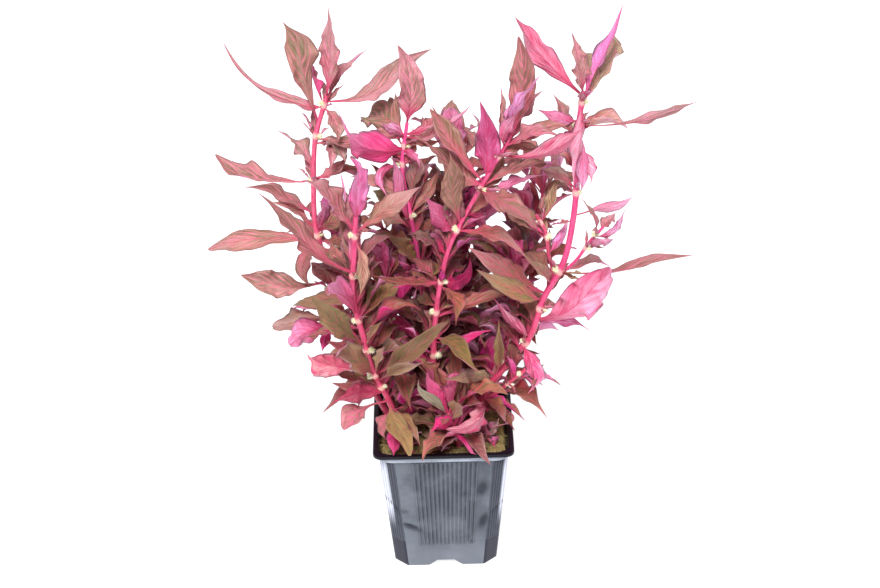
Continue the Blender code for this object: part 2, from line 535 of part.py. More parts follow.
class Leaf:
    """One leaf: its root, the middle and tip of its midrib, its width and the way its face looks."""

    def __init__(self, stem, root, middle, tip, width, face, tone, name=""):
        self.stem = stem
        self.root = root
        self.middle = middle
        self.tip = tip
        self.width = width
        self.face = face
        self.tone = tone
        self.name = name

    def midrib(self, t):
        """A point on the midrib, a parabola through the root, the middle and the tip."""
        control = self.middle * 2 - (self.root + self.tip) / 2
        return self.root * (1 - t) ** 2 + control * 2 * t * (1 - t) + self.tip * t ** 2

    def solid(self, stations, grow=0.0, start=0.0):
        """Corners and faces of the blade: flat above, with the keel of its midrib below."""
        first, last = self.midrib(start), self.midrib(1)
        corners = [first]
        for t, share in stations:
            if t <= start:
                continue
            middle = self.midrib(t)
            along = (self.midrib(min(1, t + 0.05)) - self.midrib(t - 0.05)).normalized()
            side = along.cross(self.face).normalized()
            up = side.cross(along)
            half = self.width * share / 2 + grow
            top = up * (LEAF_KEEL / 3 + grow)
            corners += [middle - side * half + top, middle + side * half + top,
                        middle - up * (LEAF_KEEL + grow)]
        corners.append(last)
        rows = (len(corners) - 2) // 3
        faces = [(0, 1 + k, 1 + (k + 1) % 3) for k in range(3)]
        for row in range(rows - 1):
            a, b = 1 + 3 * row, 4 + 3 * row
            faces += [(a + k, b + k, b + (k + 1) % 3, a + (k + 1) % 3) for k in range(3)]
        tip = len(corners) - 1
        faces += [(tip - 3 + (k + 1) % 3, tip - 3 + k, tip) for k in range(3)]
        return corners, faces


# Where the cross sections of a leaf stand along its midrib, and each one's share of the full width.
OWN_STATIONS = [(0.14, 0.30), (0.44, 1.0), (0.76, 0.72)]
FUSED_STATIONS = [(0.34, 0.96), (0.72, 0.80)]
OUTER_START = 0.16


class Thicket:
    """The solids already in place, against which each new leaf is tried."""

    def __init__(self):
        self.solids = []

    def add(self, owner, corners, faces):
        low = Vector([min(c[i] for c in corners) for i in range(3)])
        high = Vector([max(c[i] for c in corners) for i in range(3)])
        self.solids.append((owner, low, high, BVHTree.FromPolygons(corners, faces)))

    def hits(self, corners, faces, skip=()):
        low = Vector([min(c[i] for c in corners) for i in range(3)])
        high = Vector([max(c[i] for c in corners) for i in range(3)])
        tree = None
        for owner, other_low, other_high, other in self.solids:
            if owner in skip or any(low[i] > other_high[i] or high[i] < other_low[i] for i in range(3)):
                continue
            tree = tree or BVHTree.FromPolygons(corners, faces)
            if tree.overlap(other):
                return True
        return False

    def takes(self, leaf):
        """Keep a leaf if it stands clear, but for where it joins its own stem."""
        stations = OWN_STATIONS if leaf.name else FUSED_STATIONS
        fused = leaf.stem.name + " leaves"
        joins = () if leaf.name else (leaf.stem.name, fused)
        outer_part = leaf.solid(stations, GAP, OUTER_START)
        if self.hits(*outer_part) or self.hits(*leaf.solid(stations, GAP), skip=joins):
            return False
        self.add(leaf.name or fused, *leaf.solid(stations))
        return True


def facing(chord, turned):
    """The way a leaf's upper face looks: at the eye, then turned about the chord towards the sky."""
    along = chord.normalized()
    front = (-SIGHT - along * along.dot(-SIGHT)).normalized()
    side = along.cross(front)
    if side.z < 0:
        side = -side
    angle = math.radians(turned)
    return front * math.cos(angle) + side * math.sin(angle)


def drawn_leaf(stems, row, slide, swing, turn, shorten):
    """A leaf from its row, with its tip slid along the line of sight and its root along the stem."""
    stem_name, height, tip, bow, width, face, tone, name = row
    stem = stems[stem_name]
    point, direction, radius = stem.at_height(height + swing)
    end = from_drawing(tip[0], tip[1], tip[2] + slide)
    end = point.lerp(end, shorten)
    out = (end - point).normalized()
    if name:
        slant = (out - direction * out.dot(direction)).length
        root = point + out * (radius + 2 * GAP) / max(0.3, slant)
    else:
        root = point - out * radius * ROOT_SINK
    middle = (root + end) / 2 + (DRAWING_RIGHT * bow[0] + DRAWING_UP * bow[1]) * MM
    return Leaf(stem, root, middle, end, width * MM, facing(end - root, face + turn), tone, name)


# The ways a leaf of the drawing gives way when it meets another: by sliding its tip along the line of
# sight (mm), moving its root along the stem (mm), turning its face (degrees) and growing shorter.
GIVE_WAY = sorted(
    ((slide, swing, turn, shorten)
     for slide in (0, -7, 7, -14, 14, -22, 22, -30, 30, -40, 40, 52, 64)
     for swing in (0, 3, -3)
     for turn in (0, 25, -25)
     for shorten in (1.0, 0.86)),
    key=lambda give: abs(give[0]) + 4 * abs(give[1]) + abs(give[2]) / 2 + 220 * (1 - give[3]))


def place_drawn_leaf(stems, thicket, row):
    """Put a leaf of the drawing in the first of its ways of giving way that stands clear."""
    for give in GIVE_WAY:
        leaf = drawn_leaf(stems, row, *give)
        if thicket.takes(leaf):
            leaf.stem.leaves.append(leaf)
            return
    raise ValueError("no room for the leaf at " + str(row[:3]))


def ruled_leaf(stem, length, around, rise, long, wide, tone):
    """A leaf that leaves its stem at an angle round it, rises and then arches over under its weight."""
    point, direction, radius = stem.at_length(length)
    flat = Vector((math.cos(around), math.sin(around), 0))
    out = flat * math.cos(rise) + Vector((0, 0, 1)) * math.sin(rise)
    tip = point + out * long
    droop = Vector((0, 0, 1)) * long * LEAF_DROOP
    middle = (point + tip) / 2 + droop
    face = (Vector((0, 0, 1)) * math.cos(rise) - flat * math.sin(rise)).normalized()
    return Leaf(stem, point - out * radius * ROOT_SINK, middle, tip - droop, wide, face, tone)


def between(ends, share, chance=1.0):
    """A value this share of the way between two, times a chance factor."""
    return (ends[0] + (ends[1] - ends[0]) * share) * chance


def grow_pairs(stem, thicket, first_angle, chance):
    """Crosswise pairs of leaves up a stem, longer and flatter low down, and a tuft at its tip."""
    reach = stem.length() / MM
    count = max(1, int((reach - FIRST_NODE) / NODE_SPACING) + 1)
    for node in range(count + 1):
        tuft = node == count
        along = reach - 1 if tuft else FIRST_NODE + node * NODE_SPACING
        share = along / reach
        for k in range(TIP_LEAVES if tuft else 2):
            spread = 2 * math.pi / TIP_LEAVES if tuft else math.pi
            around = math.radians(first_angle + 90 * node) + spread * k + chance.uniform(-0.3, 0.3)
            rise = math.radians(between(LEAF_RISES, share) + chance.uniform(-9, 9))
            long = between(LEAF_LENGTHS, share, chance.uniform(0.85, 1.2)) * MM
            wide = between(LEAF_WIDTHS, share, chance.uniform(0.85, 1.15)) * MM
            tone = chance.choice(BACK_TONES)
            for turn, lift, size in YIELDS:
                leaf = ruled_leaf(stem, along * MM, around + turn, rise + lift, long * size, wide * size, tone)
                if thicket.takes(leaf):
                    stem.leaves.append(leaf)
                    break
        if node % 2:
            stem.heads.append(head_centre(*stem.at_length(along * MM), first_angle + 90 * node + HEAD_TURN))


# The ways a leaf of the back stems gives way: turning round its stem and lifting (both in radians), and
# growing smaller.
YIELDS = [(turn, lift, size) for size in (1.0, 0.8, 0.62)
          for turn in (0, 0.3, -0.3, 0.6, -0.6) for lift in (0, 0.3, -0.3, 0.6)]


def stem_tube(stem, collection):
    """The stem as a mesh: a bevelled curve along its route, its caps welded on."""
    curve = bpy.data.curves.new(stem.name, "CURVE")
    curve.dimensions = "3D"
    curve.bevel_depth = 1.0
    curve.bevel_resolution = 1
    curve.use_fill_caps = True
    spline = curve.splines.new("POLY")
    spline.points.add(len(stem.points) - 1)
    for place, point, radius in zip(spline.points, stem.points, stem.radii):
        place.co = (*point, 1)
        place.radius = radius
    guide = bpy.data.objects.new(stem.name + "_route", curve)
    collection.objects.link(guide)
    bpy.context.view_layer.update()
    tube = bpy.data.meshes.new_from_object(guide.evaluated_get(bpy.context.evaluated_depsgraph_get()))
    bpy.data.objects.remove(guide)
    shell = bmesh.new()
    shell.from_mesh(tube)
    bmesh.ops.remove_doubles(shell, verts=shell.verts, dist=0.01 * MM)
    bmesh.ops.recalc_face_normals(shell, faces=shell.faces)
    shell.to_mesh(tube)
    shell.free()
    tube.name = stem.name
    tube.materials.clear()
    return tube


def head_centre(point, direction, radius, around):
    """Where a flower head sits: in the angle of a leaf, half sunk in the stem's side."""
    side = Vector((math.cos(math.radians(around)), math.sin(math.radians(around)), 0))
    side = (side - direction * side.dot(direction)).normalized()
    return point + side * (radius + HEAD_RADIUS * HEAD_STANDS) + direction * HEAD_RADIUS * HEAD_STANDS


def head_ball(centre):
    """Corners and faces of a flower head, a small faceted ball."""
    ball = bmesh.new()
    bmesh.ops.create_uvsphere(ball, u_segments=4, v_segments=2, radius=HEAD_RADIUS,
                              matrix=Matrix.Translation(centre))
    corners = [v.co.copy() for v in ball.verts]
    faces = [tuple(v.index for v in f.verts) for f in ball.faces]
    ball.free()
    return corners, faces


def add_shape(shell, corners, faces, slot=0):
    """Add one closed shape to a bmesh, with the number of its material."""
    verts = [shell.verts.new(c) for c in corners]
    for face in faces:
        shell.faces.new([verts[i] for i in face]).material_index = slot


def dress_stem(stem, tube, plant, tools):
    """The stem's solid with its flower heads and the leaves that are fused to it, in their colours."""
    tones = list(LEAF_TONES)
    finishes = [make_material("stem_skin", STEM_COLOUR, 0.35), make_material("flower_head", HEAD_COLOUR, 0.8)]
    finishes += [make_material("leaf_" + tone, LEAF_TONES[tone], 0.4) for tone in tones]
    item = add_object(stem.name, tube, plant)
    joined = bmesh.new()
    for centre in stem.heads:
        add_shape(joined, *head_ball(centre), slot=1)
    for leaf in stem.leaves:
        if not leaf.name:
            add_shape(joined, *leaf.solid(FUSED_STATIONS), slot=2 + tones.index(leaf.tone))
    growth = add_cutter(stem.name + "_growth", mesh_from(joined, stem.name + "_growth"), tools)
    for mesh in (tube, growth.data):
        for finish in finishes:
            mesh.materials.append(finish)
    join = item.modifiers.new("leaves and flower heads", "BOOLEAN")
    join.operation = "UNION"
    join.use_self = True
    join.material_mode = "INDEX"
    join.object = growth


def make_leaf(leaf, plant):
    """A leaf that is a solid of its own, a hair's breadth off its stem."""
    shell = bmesh.new()
    add_shape(shell, *leaf.solid(OWN_STATIONS))
    finish = make_material("leaf_" + leaf.tone, LEAF_TONES[leaf.tone], 0.4)
    add_object(leaf.name, mesh_from(shell, leaf.name), plant, finish)


def lay_out_stems():
    """Every stem by name, with the place and radius of each foot that stands in the medium."""
    stems = {}
    feet = []
    for name, (route, radii, nodes) in FRONT_STEMS.items():
        points = [from_drawing(*place) for place in route]
        if name in SHOOT_ROOTS:
            parent, height = SHOOT_ROOTS[name]
            points = branched(points, *stems[parent].at_height(height))
            stems[name] = Stem(name, smooth_route(points, STEM_STEP / 2), radii, nodes)
        else:
            points = planted(points)
            feet.append((points[0], radii[0] * MM))
            stems[name] = Stem(name, points[:1] + smooth_route(points[1:], STEM_STEP), radii, nodes)
        for order, height in enumerate(nodes):
            place = stems[name].at_height(height)
            stems[name].heads.append(head_centre(*place, 205 if order % 2 else 325))
    for name, (route, radii, _) in BACK_STEMS.items():
        points = planted([Vector(place) * MM for place in route])
        feet.append((points[0], radii[0] * MM))
        stems[name] = Stem(name, points[:1] + smooth_route(points[1:], STEM_STEP), radii)
    return stems, feet


def shape_of(mesh):
    """Corners and faces of a mesh, as the thicket takes them."""
    return [v.co.copy() for v in mesh.vertices], [tuple(p.vertices) for p in mesh.polygons]


def grow_leaves(stems, thicket):
    """Put every leaf in its place: first those of the drawing, then those of the back stems."""
    for row in FRONT_LEAVES:
        place_drawn_leaf(stems, thicket, row)
    chance = random.Random(11)
    for name, (_, _, first_angle) in BACK_STEMS.items():
        grow_pairs(stems[name], thicket, first_angle, chance)


def build():
    plant, tools = start_scene()
    stems, feet = lay_out_stems()
    solids = [make_pot(plant, tools), make_medium(plant, tools, feet)]
    bpy.context.view_layer.update()
    thicket = Thicket()
    for item in solids:
        thicket.add(item.name, *shape_of(item.evaluated_get(bpy.context.evaluated_depsgraph_get()).data))
    tubes = {name: stem_tube(stem, tools) for name, stem in stems.items()}
    for name, tube in tubes.items():
        thicket.add(name, *shape_of(tube))
        for centre in stems[name].heads:
            thicket.add(name, *head_ball(centre))
    grow_leaves(stems, thicket)
    for name, stem in stems.items():
        dress_stem(stem, tubes[name], plant, tools)
        for leaf in stem.leaves:
            if leaf.name:
                make_leaf(leaf, plant)


build()
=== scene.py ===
"""Looks of the potted alternanthera reineckii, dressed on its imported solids.

Metres, +Z up. The sections follow the plant as it is put together: the view, the pot, the growing medium,
the stems, the leaves, the flower heads and the studio.
"""

import math
import random
from dataclasses import dataclass, field

import bmesh
import bpy
from mathutils import Matrix, Vector, noise
from mathutils.bvhtree import BVHTree


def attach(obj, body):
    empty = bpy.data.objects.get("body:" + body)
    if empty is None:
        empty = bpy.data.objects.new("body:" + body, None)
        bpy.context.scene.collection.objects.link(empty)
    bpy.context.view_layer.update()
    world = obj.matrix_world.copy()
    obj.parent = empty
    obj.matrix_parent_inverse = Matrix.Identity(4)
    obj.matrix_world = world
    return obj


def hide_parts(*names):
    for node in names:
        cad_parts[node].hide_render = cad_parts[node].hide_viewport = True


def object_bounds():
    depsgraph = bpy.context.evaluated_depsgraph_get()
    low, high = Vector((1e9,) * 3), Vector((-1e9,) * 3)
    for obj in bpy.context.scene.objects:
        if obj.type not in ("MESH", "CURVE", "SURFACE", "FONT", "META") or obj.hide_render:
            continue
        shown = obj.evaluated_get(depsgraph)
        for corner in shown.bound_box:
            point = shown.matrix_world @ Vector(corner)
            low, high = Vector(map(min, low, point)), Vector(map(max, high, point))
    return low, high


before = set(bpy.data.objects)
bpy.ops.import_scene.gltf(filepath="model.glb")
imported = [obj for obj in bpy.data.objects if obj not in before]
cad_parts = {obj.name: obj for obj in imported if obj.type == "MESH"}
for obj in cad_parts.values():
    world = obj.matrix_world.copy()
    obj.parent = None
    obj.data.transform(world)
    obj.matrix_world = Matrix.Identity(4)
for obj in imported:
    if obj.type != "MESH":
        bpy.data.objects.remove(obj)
solid_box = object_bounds()

# The view.
# The plant is seen from the front and 28 degrees above, from an eye 1.6 m off. The front stems and leaves
# are laid out on a drawing that stands square to that sight line at the pot's front top edge.
MM = 0.001
SIGHT_TILT = math.radians(28)
EYE_DISTANCE = 1600 * MM
EYE_UP = 105.5 * MM
EYE_ROLL = math.radians(1.3)
EYE_LENS = 100
SIGHT = Vector((0, math.cos(SIGHT_TILT), -math.sin(SIGHT_TILT)))
DRAWING_UP = Vector((0, math.sin(SIGHT_TILT), math.cos(SIGHT_TILT)))
DRAWING_RIGHT = Vector((1, 0, 0))
DRAWING_ORIGIN = Vector((0, -45.6 * MM, 94 * MM))
EYE = DRAWING_ORIGIN + DRAWING_UP * EYE_UP - SIGHT * EYE_DISTANCE


def from_drawing(across, up, depth):
    """The point at this depth (y) that lies on the line of sight through a place on the drawing."""
    ray = DRAWING_ORIGIN + DRAWING_RIGHT * across * MM + DRAWING_UP * up * MM - EYE
    return EYE + ray * ((depth * MM - EYE.y) / ray.y)


def height_on_drawing(point):
    """How far up the drawing a point in space appears, in mm."""
    ray = point - EYE
    seen = EYE + ray * (EYE_DISTANCE / ray.dot(SIGHT))
    return (seen - DRAWING_ORIGIN).dot(DRAWING_UP) / MM


def add_piece(name, data):
    """An object with this mesh, camera or other data, at the origin, in the scene."""
    item = bpy.data.objects.new(name, data)
    bpy.context.scene.collection.objects.link(item)
    return item


def place_eye():
    """The camera, level but for the small roll that the picture has."""
    camera = bpy.data.cameras.new("eye")
    camera.lens = EYE_LENS
    camera.sensor_width = 36
    right = DRAWING_RIGHT * math.cos(EYE_ROLL) - DRAWING_UP * math.sin(EYE_ROLL)
    up = DRAWING_UP * math.cos(EYE_ROLL) + DRAWING_RIGHT * math.sin(EYE_ROLL)
    turn = Matrix((right, up, -SIGHT)).transposed().to_4x4()
    turn.translation = EYE
    eye = add_piece("eye", camera)
    eye.matrix_world = turn
    bpy.context.scene.camera = eye


place_eye()

# The pot.
# A thin moulded square nursery pot: cut corners, a collar and a flange round the top, notched feet, four
# drain holes, and a panel of fine upright ribs pressed into each side. Handling has dented its wall.
POT_HEIGHT = 94
FLANGE_HALF = 46.5
FLANGE_DEPTH = 2.4
FLANGE_CORNER = 6
COLLAR_HALF = 44.4
COLLAR_DEPTH = 4.4
WALL_TOP_HALF = 43
WALL_BASE_HALF = 34.4
CHAMFER_TOP = 10
CHAMFER_BASE = 8.6
WALL = 1.3
FLOOR_UNDERSIDE = 4.2
FLOOR = 1.6
FOOT_WIDTH = 2.4
NOTCH_WIDTH = 24
NOTCH_TOP_WIDTH = 11.5
NOTCH_HEIGHT = 4.4
NOTCH_REACH = 4
DRAIN_RADIUS = 3.6
DRAIN_OFFSET = 17
DRAIN_SIDES = 32
COLLAR_BASE = POT_HEIGHT - FLANGE_DEPTH - COLLAR_DEPTH
LONGEST_STRETCH = 1.5
EDGE_ROUNDING = 0.55
FLAT_STEPS = 48
CORNER_STEPS = 8
CORNER_SOFTENING = (0.15, 0.7, 0.15)
SHARP_ANGLE = math.radians(42)
PANEL_HALVES = (17.6, 21.6)
PANEL_FOOT = 18.5
PANEL_SHIFT = 0.9
PANEL_RIBS = 15
CORNER_RIBS = 5
RIB_HALF_WIDTH = 0.95
RIB_RISE = 0.7
PANEL_GROOVES = (PANEL_RIBS - 1) / 2
PANEL_RIBS_TOP = COLLAR_BASE - 0.4
CORNER_RIBS_FOOT = 21
CORNER_RIBS_TOP = COLLAR_BASE - 0.6
# Each dent: the side it is on (0 front, 1 right, 2 back, 3 left), its place across and up, its reach both
# ways and its depth, all in mm, and how far it rises for each mm across.
DENTS = [(0, -23, 33, 6, 2, 2.2, -0.45), (0, 25, 64, 3.6, 6, 2.1, 0.5), (0, 25.5, 37, 3.2, 5.5, 1.9, 0.9),
         (0, 36, 46, 6, 1.8, 1.4, 0.45), (0, -35, 50, 7, 2.2, 1.6, -0.6), (0, 13.5, 60, 2, 1.6, 0.8, 0),
         (0, 17.5, 19.5, 1.6, 1.4, 1.0, 0), (0, -26, 46, 2, 1.6, 0.7, 0), (1, -16, 44, 6, 3, 1.0, 0.5),
         (1, 12, 30, 7, 3, 0.8, -0.3), (1, 27, 66, 3, 5, 0.8, 0.4), (2, 14, 52, 6, 4, 0.9, 0.3),
         (2, -24, 30, 5, 2.4, 1.0, -0.5), (3, 10, 40, 6, 3, 1.0, 0.4), (3, -24, 62, 4, 5, 0.8, 0.2)]
# How far out a side's wall begins, and how deep in a dent the painted shade in it is darkest.
DENTED_FROM = 28 * MM
DENT_DARKEST = 1.4


def by(operation):
    """A method of a wire that adds a node of maths."""
    return lambda wire, *others: wire.maths(operation, *others)


class Wire:
    """One output of a node, with operators, so that the maths of shaders and shapes reads plainly."""

    def __init__(self, sheet, socket):
        self.sheet = sheet
        self.socket = socket

    def maths(self, operation, *others):
        """A Math node, or a Vector Math node where any of the values is a vector."""
        values = (self, *others)
        kind = "ShaderNodeVectorMath" if any(map(is_arrow, values)) else "ShaderNodeMath"
        return self.sheet.node(kind, {"operation": operation}, dict(enumerate(values)))

    def __mul__(self, other):
        if is_arrow(self) == is_arrow(other):
            return self.maths("MULTIPLY", other)
        arrow, size = (self, other) if is_arrow(self) else (other, self)
        return self.sheet.node("ShaderNodeVectorMath", {"operation": "SCALE"}, {0: arrow, 1: size})

    def __rsub__(self, other):
        return self * -1 + other

    __rmul__ = __mul__
    __add__ = __radd__ = by("ADD")
    __sub__ = by("SUBTRACT")
    __truediv__ = by("DIVIDE")
    __pow__ = by("POWER")
    __abs__ = by("ABSOLUTE")
    __lt__ = by("LESS_THAN")
    __gt__ = by("GREATER_THAN")
    cross = by("CROSS_PRODUCT")
    unit = by("NORMALIZE")
    sine = by("SINE")
    cosine = by("COSINE")
    fraction = by("FRACT")

    def parts(self):
        """The three numbers of a vector."""
        split = self.sheet.node("ShaderNodeSeparateXYZ", None, {0: self}).socket.node
        return [Wire(self.sheet, socket) for socket in split.outputs]

    def step(self, low, high):
        """0 below the low value, 1 above the high one, and a smooth rise between."""
        return self.sheet.node("ShaderNodeMapRange", {"interpolation_type": "SMOOTHSTEP"},
                               {0: self, 1: low, 2: high})


def is_arrow(value):
    """Whether a value is a vector, as a wire or as plain numbers."""
    return value.socket.type == "VECTOR" if isinstance(value, Wire) else isinstance(value, tuple)


class Sheet:
    """A node tree that is being written."""

    def __init__(self, tree):
        self.tree = tree

    def node(self, kind, settings=None, values=None, out=0):
        """A node: its settings first, then the number or wire of each socket that it shows."""
        made = self.tree.nodes.new(kind)
        for name, value in (settings or {}).items():
            if name == "curve":
                line = made.mapping.curves[0]
                for place in value[2:]:
                    line.points.new(*place)
                for point, place in zip(line.points, value):
                    point.location = place
                made.mapping.update()
            else:
                setattr(made, name, value)
        for key, value in (values or {}).items():
            socket = find_socket(made.inputs, key)
            for each in value if isinstance(value, list) else [value]:
                if isinstance(each, Wire):
                    self.tree.links.new(each.socket, socket)
                else:
                    socket.default_value = each
        return Wire(self, find_socket(made.outputs, out)) if len(made.outputs) else None

    def place(self):
        """The place on the piece, in metres."""
        return self.node("ShaderNodeTexCoord", None, None, "Object")

    def painted(self, name, out="Fac"):
        """A number, vector or colour that a piece's mesh carries, for its finish."""
        return self.node("ShaderNodeAttribute", {"attribute_name": name}, None, out)

    def trait(self, name, kind="FLOAT"):
        """A number or vector that a mesh carries, for its shape."""
        return self.node("GeometryNodeInputNamedAttribute", {"data_type": kind}, {"Name": name})

    def carry(self, shape, name, value, kind="FLOAT", domain="POINT"):
        """The shape, with this value under this name."""
        return self.node("GeometryNodeStoreNamedAttribute", {"data_type": kind, "domain": domain},
                         {0: shape, "Name": name, "Value": value})

    def arrow(self, x, y, z):
        return self.node("ShaderNodeCombineXYZ", None, {0: x, 1: y, 2: z})

    def blend(self, share, first, second):
        """A colour this share of the way from the first to the second."""
        first, second = ((*colour, 1) if isinstance(colour, tuple) else colour for colour in (first, second))
        return self.node("ShaderNodeMix", {"data_type": "RGBA"}, {"Factor": share, "A": first, "B": second})

    def coat(self, colour, *coats):
        """A colour with others laid over it in turn, each with the share that it covers."""
        for share, over in coats:
            colour = self.blend(share, colour, over)
        return colour

    def speckle(self, place, scale, detail=2.0, rough=0.5):
        """Noise from 0 to 1 on a place, with this many grains to the metre."""
        return self.node("ShaderNodeTexNoise", None,
                         {"Vector": place, "Scale": scale, "Detail": detail, "Roughness": rough})

    def bump(self, height, distance, strength=1.0):
        return self.node("ShaderNodeBump", None,
                         {"Height": height, "Distance": distance, "Strength": strength})

    def tube(self, line, ring, **more):
        """A ring drawn along a line, closed at its ends."""
        return self.node("GeometryNodeCurveToMesh", None, {0: line, 1: ring, "Fill Caps": True, **more})

    def scatter(self, points, thing, turn, size):
        """A copy of a thing on each point, turned and sized."""
        return self.node("GeometryNodeInstanceOnPoints", None,
                         {0: points, "Instance": thing, "Rotation": turn, "Scale": size})

    def draw(self, low, high, shuffle):
        """A number or a vector between two ends, by chance for each point."""
        kind = "FLOAT_VECTOR" if is_arrow(low) else "FLOAT"
        return self.node("FunctionNodeRandomValue", {"data_type": kind},
                         {"Min": low, "Max": high, "Seed": shuffle})


def find_socket(sockets, key):
    """The socket with this name, or in this place, among those that a node shows."""
    shown = [socket for socket in sockets if socket.enabled]
    return shown[key] if isinstance(key, int) else next(s for s in shown if s.name == key)


def new_finish(name, plain):
    """A material, its node sheet and its Principled shader, with the plain values set on its own sockets."""
    material = bpy.data.materials.new(name)
    material.use_nodes = True
    shader = material.node_tree.nodes["Principled BSDF"]
    for socket, value in plain.items():
        shader.inputs[socket].default_value = value
    return material, Sheet(material.node_tree), shader


def feed(shader, **wires):
    """Link wires to a shader's sockets, named in small letters with underscores."""
    for name, wire in wires.items():
        socket = next(s for s in shader.inputs if s.name.lower().replace(" ", "_") == name)
        shader.id_data.links.new(wire.socket, socket)


def pot_finish():
    """Glossy dark blue-grey plastic, with painted shade on the cut corners, in the grooves and in the dents,
    a pale painted highlight along the collar and the corners' outer edges, and painted shade near black on
    the rim and inside."""
    material, sheet, shader = new_finish("pot_plastic", {
        "Specular IOR Level": 0.2, "Coat Weight": 0.05, "Coat Roughness": 0.15})
    place = sheet.place()
    x, y, z = place.parts()
    facing_x, facing_y, _ = sheet.node("ShaderNodeNewGeometry", None, None, "Normal").parts()
    outward = facing_x * x + facing_y * y > 0.0
    up = z / (COLLAR_BASE * MM)
    half = up * ((WALL_TOP_HALF - WALL_BASE_HALF) * MM) + WALL_BASE_HALF * MM
    chamfer = up * ((CHAMFER_TOP - CHAMFER_BASE) * MM) + CHAMFER_BASE * MM
    below_collar = z < COLLAR_BASE * MM
    # The cut corners, which get painted shade.
    corner = (abs(x) + abs(y) - half * 2.0 + chamfer).step(-0.001, -0.0004) * outward * below_collar
    # A strip along each cut corner's outer edge, which gets a painted highlight.
    edge = (abs(x) - half + (x < 0.0) * 0.0022).step(-0.0034, -0.0016) * corner * z.step(0.028, 0.05)
    in_front = abs(y) > abs(x)
    across = y * x.maths("SIGN") * (1.0 - in_front) - x * y.maths("SIGN") * in_front
    panel_half = up * ((PANEL_HALVES[1] - PANEL_HALVES[0]) * MM) + PANEL_HALVES[0] * MM
    panel_place = (across - PANEL_SHIFT * MM) / panel_half
    panel = (abs(panel_place) < 1.03) * (z > PANEL_FOOT * MM) * below_collar * outward
    # The grooves between the panel's ribs, which get painted shade.
    groove = abs((panel_place * PANEL_GROOVES).fraction() - 0.5).step(0.22, 0.08) * panel
    corner_place = (abs(x) - half + chamfer) / chamfer * (CORNER_RIBS + 1.0)
    corner_groove = abs(corner_place.fraction() - 0.5).step(0.24, 0.08) * corner * (z > CORNER_RIBS_FOOT * MM)
    drawn = sheet.speckle(sheet.arrow(x, y, z * 0.04), 420.0, 3.0, 0.6)
    cloud = sheet.speckle(place, 45.0, 4.0, 0.6)
    scuff = sheet.speckle(sheet.arrow(x, y, z * 0.5), 260.0, 5.0, 0.7).step(0.62, 0.74)
    # Patches where the painted shade in the grooves is fainter.
    fainter_groove_shade = cloud.step(0.35, 0.62) * 0.6
    wall = sheet.coat(
        (0.076, 0.087, 0.108),
        (drawn.step(0.25, 0.8) * 0.5, (0.102, 0.116, 0.14)),
        (cloud.step(0.4, 0.68) * 0.7, (0.15, 0.166, 0.195)),
        (z.step(0.024, 0.008) * 0.4, (0.2, 0.218, 0.255)),
        (scuff * 0.3, (0.22, 0.23, 0.26)),
        # Painted shade on the cut corners, near black low down.
        (corner * 0.7, (0.034, 0.038, 0.058)),
        (corner * (z < CORNER_RIBS_FOOT * MM) * 0.9, (0.014, 0.014, 0.03)),
        # Painted shade in the grooves between the ribs, fainter in patches.
        (groove * (0.8 - fainter_groove_shade) + corner_groove * 0.5, (0.014, 0.016, 0.024)),
        # Painted shade in the dents, darker the deeper they are.
        (sheet.painted("dent") * 0.85, (0.014, 0.016, 0.026)),
        # A pale painted highlight along the corners' outer edges.
        (edge * 0.85, (0.66, 0.69, 0.8)))
    # The collar, pale with a painted highlight; the rim and the inner faces near black with painted shade.
    collar = sheet.blend(cloud.step(0.35, 0.6) * 0.5, (0.27, 0.3, 0.36), (0.4, 0.43, 0.5))
    collar = sheet.blend((z < (POT_HEIGHT - FLANGE_DEPTH) * MM) * outward, (0.006, 0.005, 0.009), collar)
    feed(shader, base_color=sheet.blend(z.step(COLLAR_BASE * MM, (COLLAR_BASE + 0.6) * MM), wall, collar),
         roughness=cloud * 0.16 + drawn * 0.08 + 0.22,
         normal=sheet.bump(drawn * 0.3 + cloud * 0.8, 0.0004, 0.4))
    return material


def pot_outline(half, chamfer, round_corner):
    """Points round a square whose corners are cut, rounded or part way between, anticlockwise."""
    points = []
    for quarter in range(4):
        turn = Matrix.Rotation(quarter * math.pi / 2, 2)
        for step in range(FLAT_STEPS):
            share = 2 * step / FLAT_STEPS - 1
            points.append(turn @ Vector((half, (half - chamfer) * share)))
        for step in range(CORNER_STEPS):
            share = step / CORNER_STEPS
            angle = share * math.pi / 2
            rounded = Vector((1 - math.cos(angle), 1 - math.sin(angle)))
            inset = Vector((share, 1 - share)).lerp(rounded, round_corner)
            points.append(turn @ (Vector((half, half)) - inset * chamfer))
    ring = points[-1:] + points + points[:1]
    before, own, after = CORNER_SOFTENING
    return [a * before + b * own + c * after for a, b, c in zip(ring, ring[1:], ring[2:])]


def filleted(profile, rounding):
    """A pot profile, rows of (half, chamfer, roundness, height), with each of its inner edges rounded."""
    rows = [Vector(row) for row in profile]
    done = [rows[0]]
    for before, edge, after in zip(rows, rows[1:], rows[2:]):
        low = edge.lerp(before, min(0.4, rounding / max(0.01, (before - edge).length)))
        high = edge.lerp(after, min(0.4, rounding / max(0.01, (after - edge).length)))
        done += [low, (low + edge * 2 + high) / 4, high]
    return done + [rows[-1]]


def divided(profile, longest):
    """A pot profile with its long stretches cut into short ones."""
    done = [profile[0]]
    for low, high in zip(profile, profile[1:]):
        count = max(1, math.ceil((high - low).length / longest))
        done += [low.lerp(high, k / count) for k in range(1, count + 1)]
    return done


def dent_pull(point):
    """How deep the dents are at a point of the pot's wall, in mm, for each side that has any there."""
    pulls = {}
    for side, across, up, wide, tall, depth, lean in DENTS:
        turn = Matrix.Rotation(side * math.pi / 2, 3, "Z")
        out = turn @ Vector((0, -1, 0))
        if point.dot(out) > DENTED_FROM and point.z < COLLAR_BASE * MM:
            aside = point.dot(turn @ Vector((1, 0, 0))) / MM - across
            rise = point.z / MM - up - lean * aside
            pulls[side] = pulls.get(side, 0) + depth * math.exp(-(aside / wide) ** 2 - (rise / tall) ** 2)
    return pulls


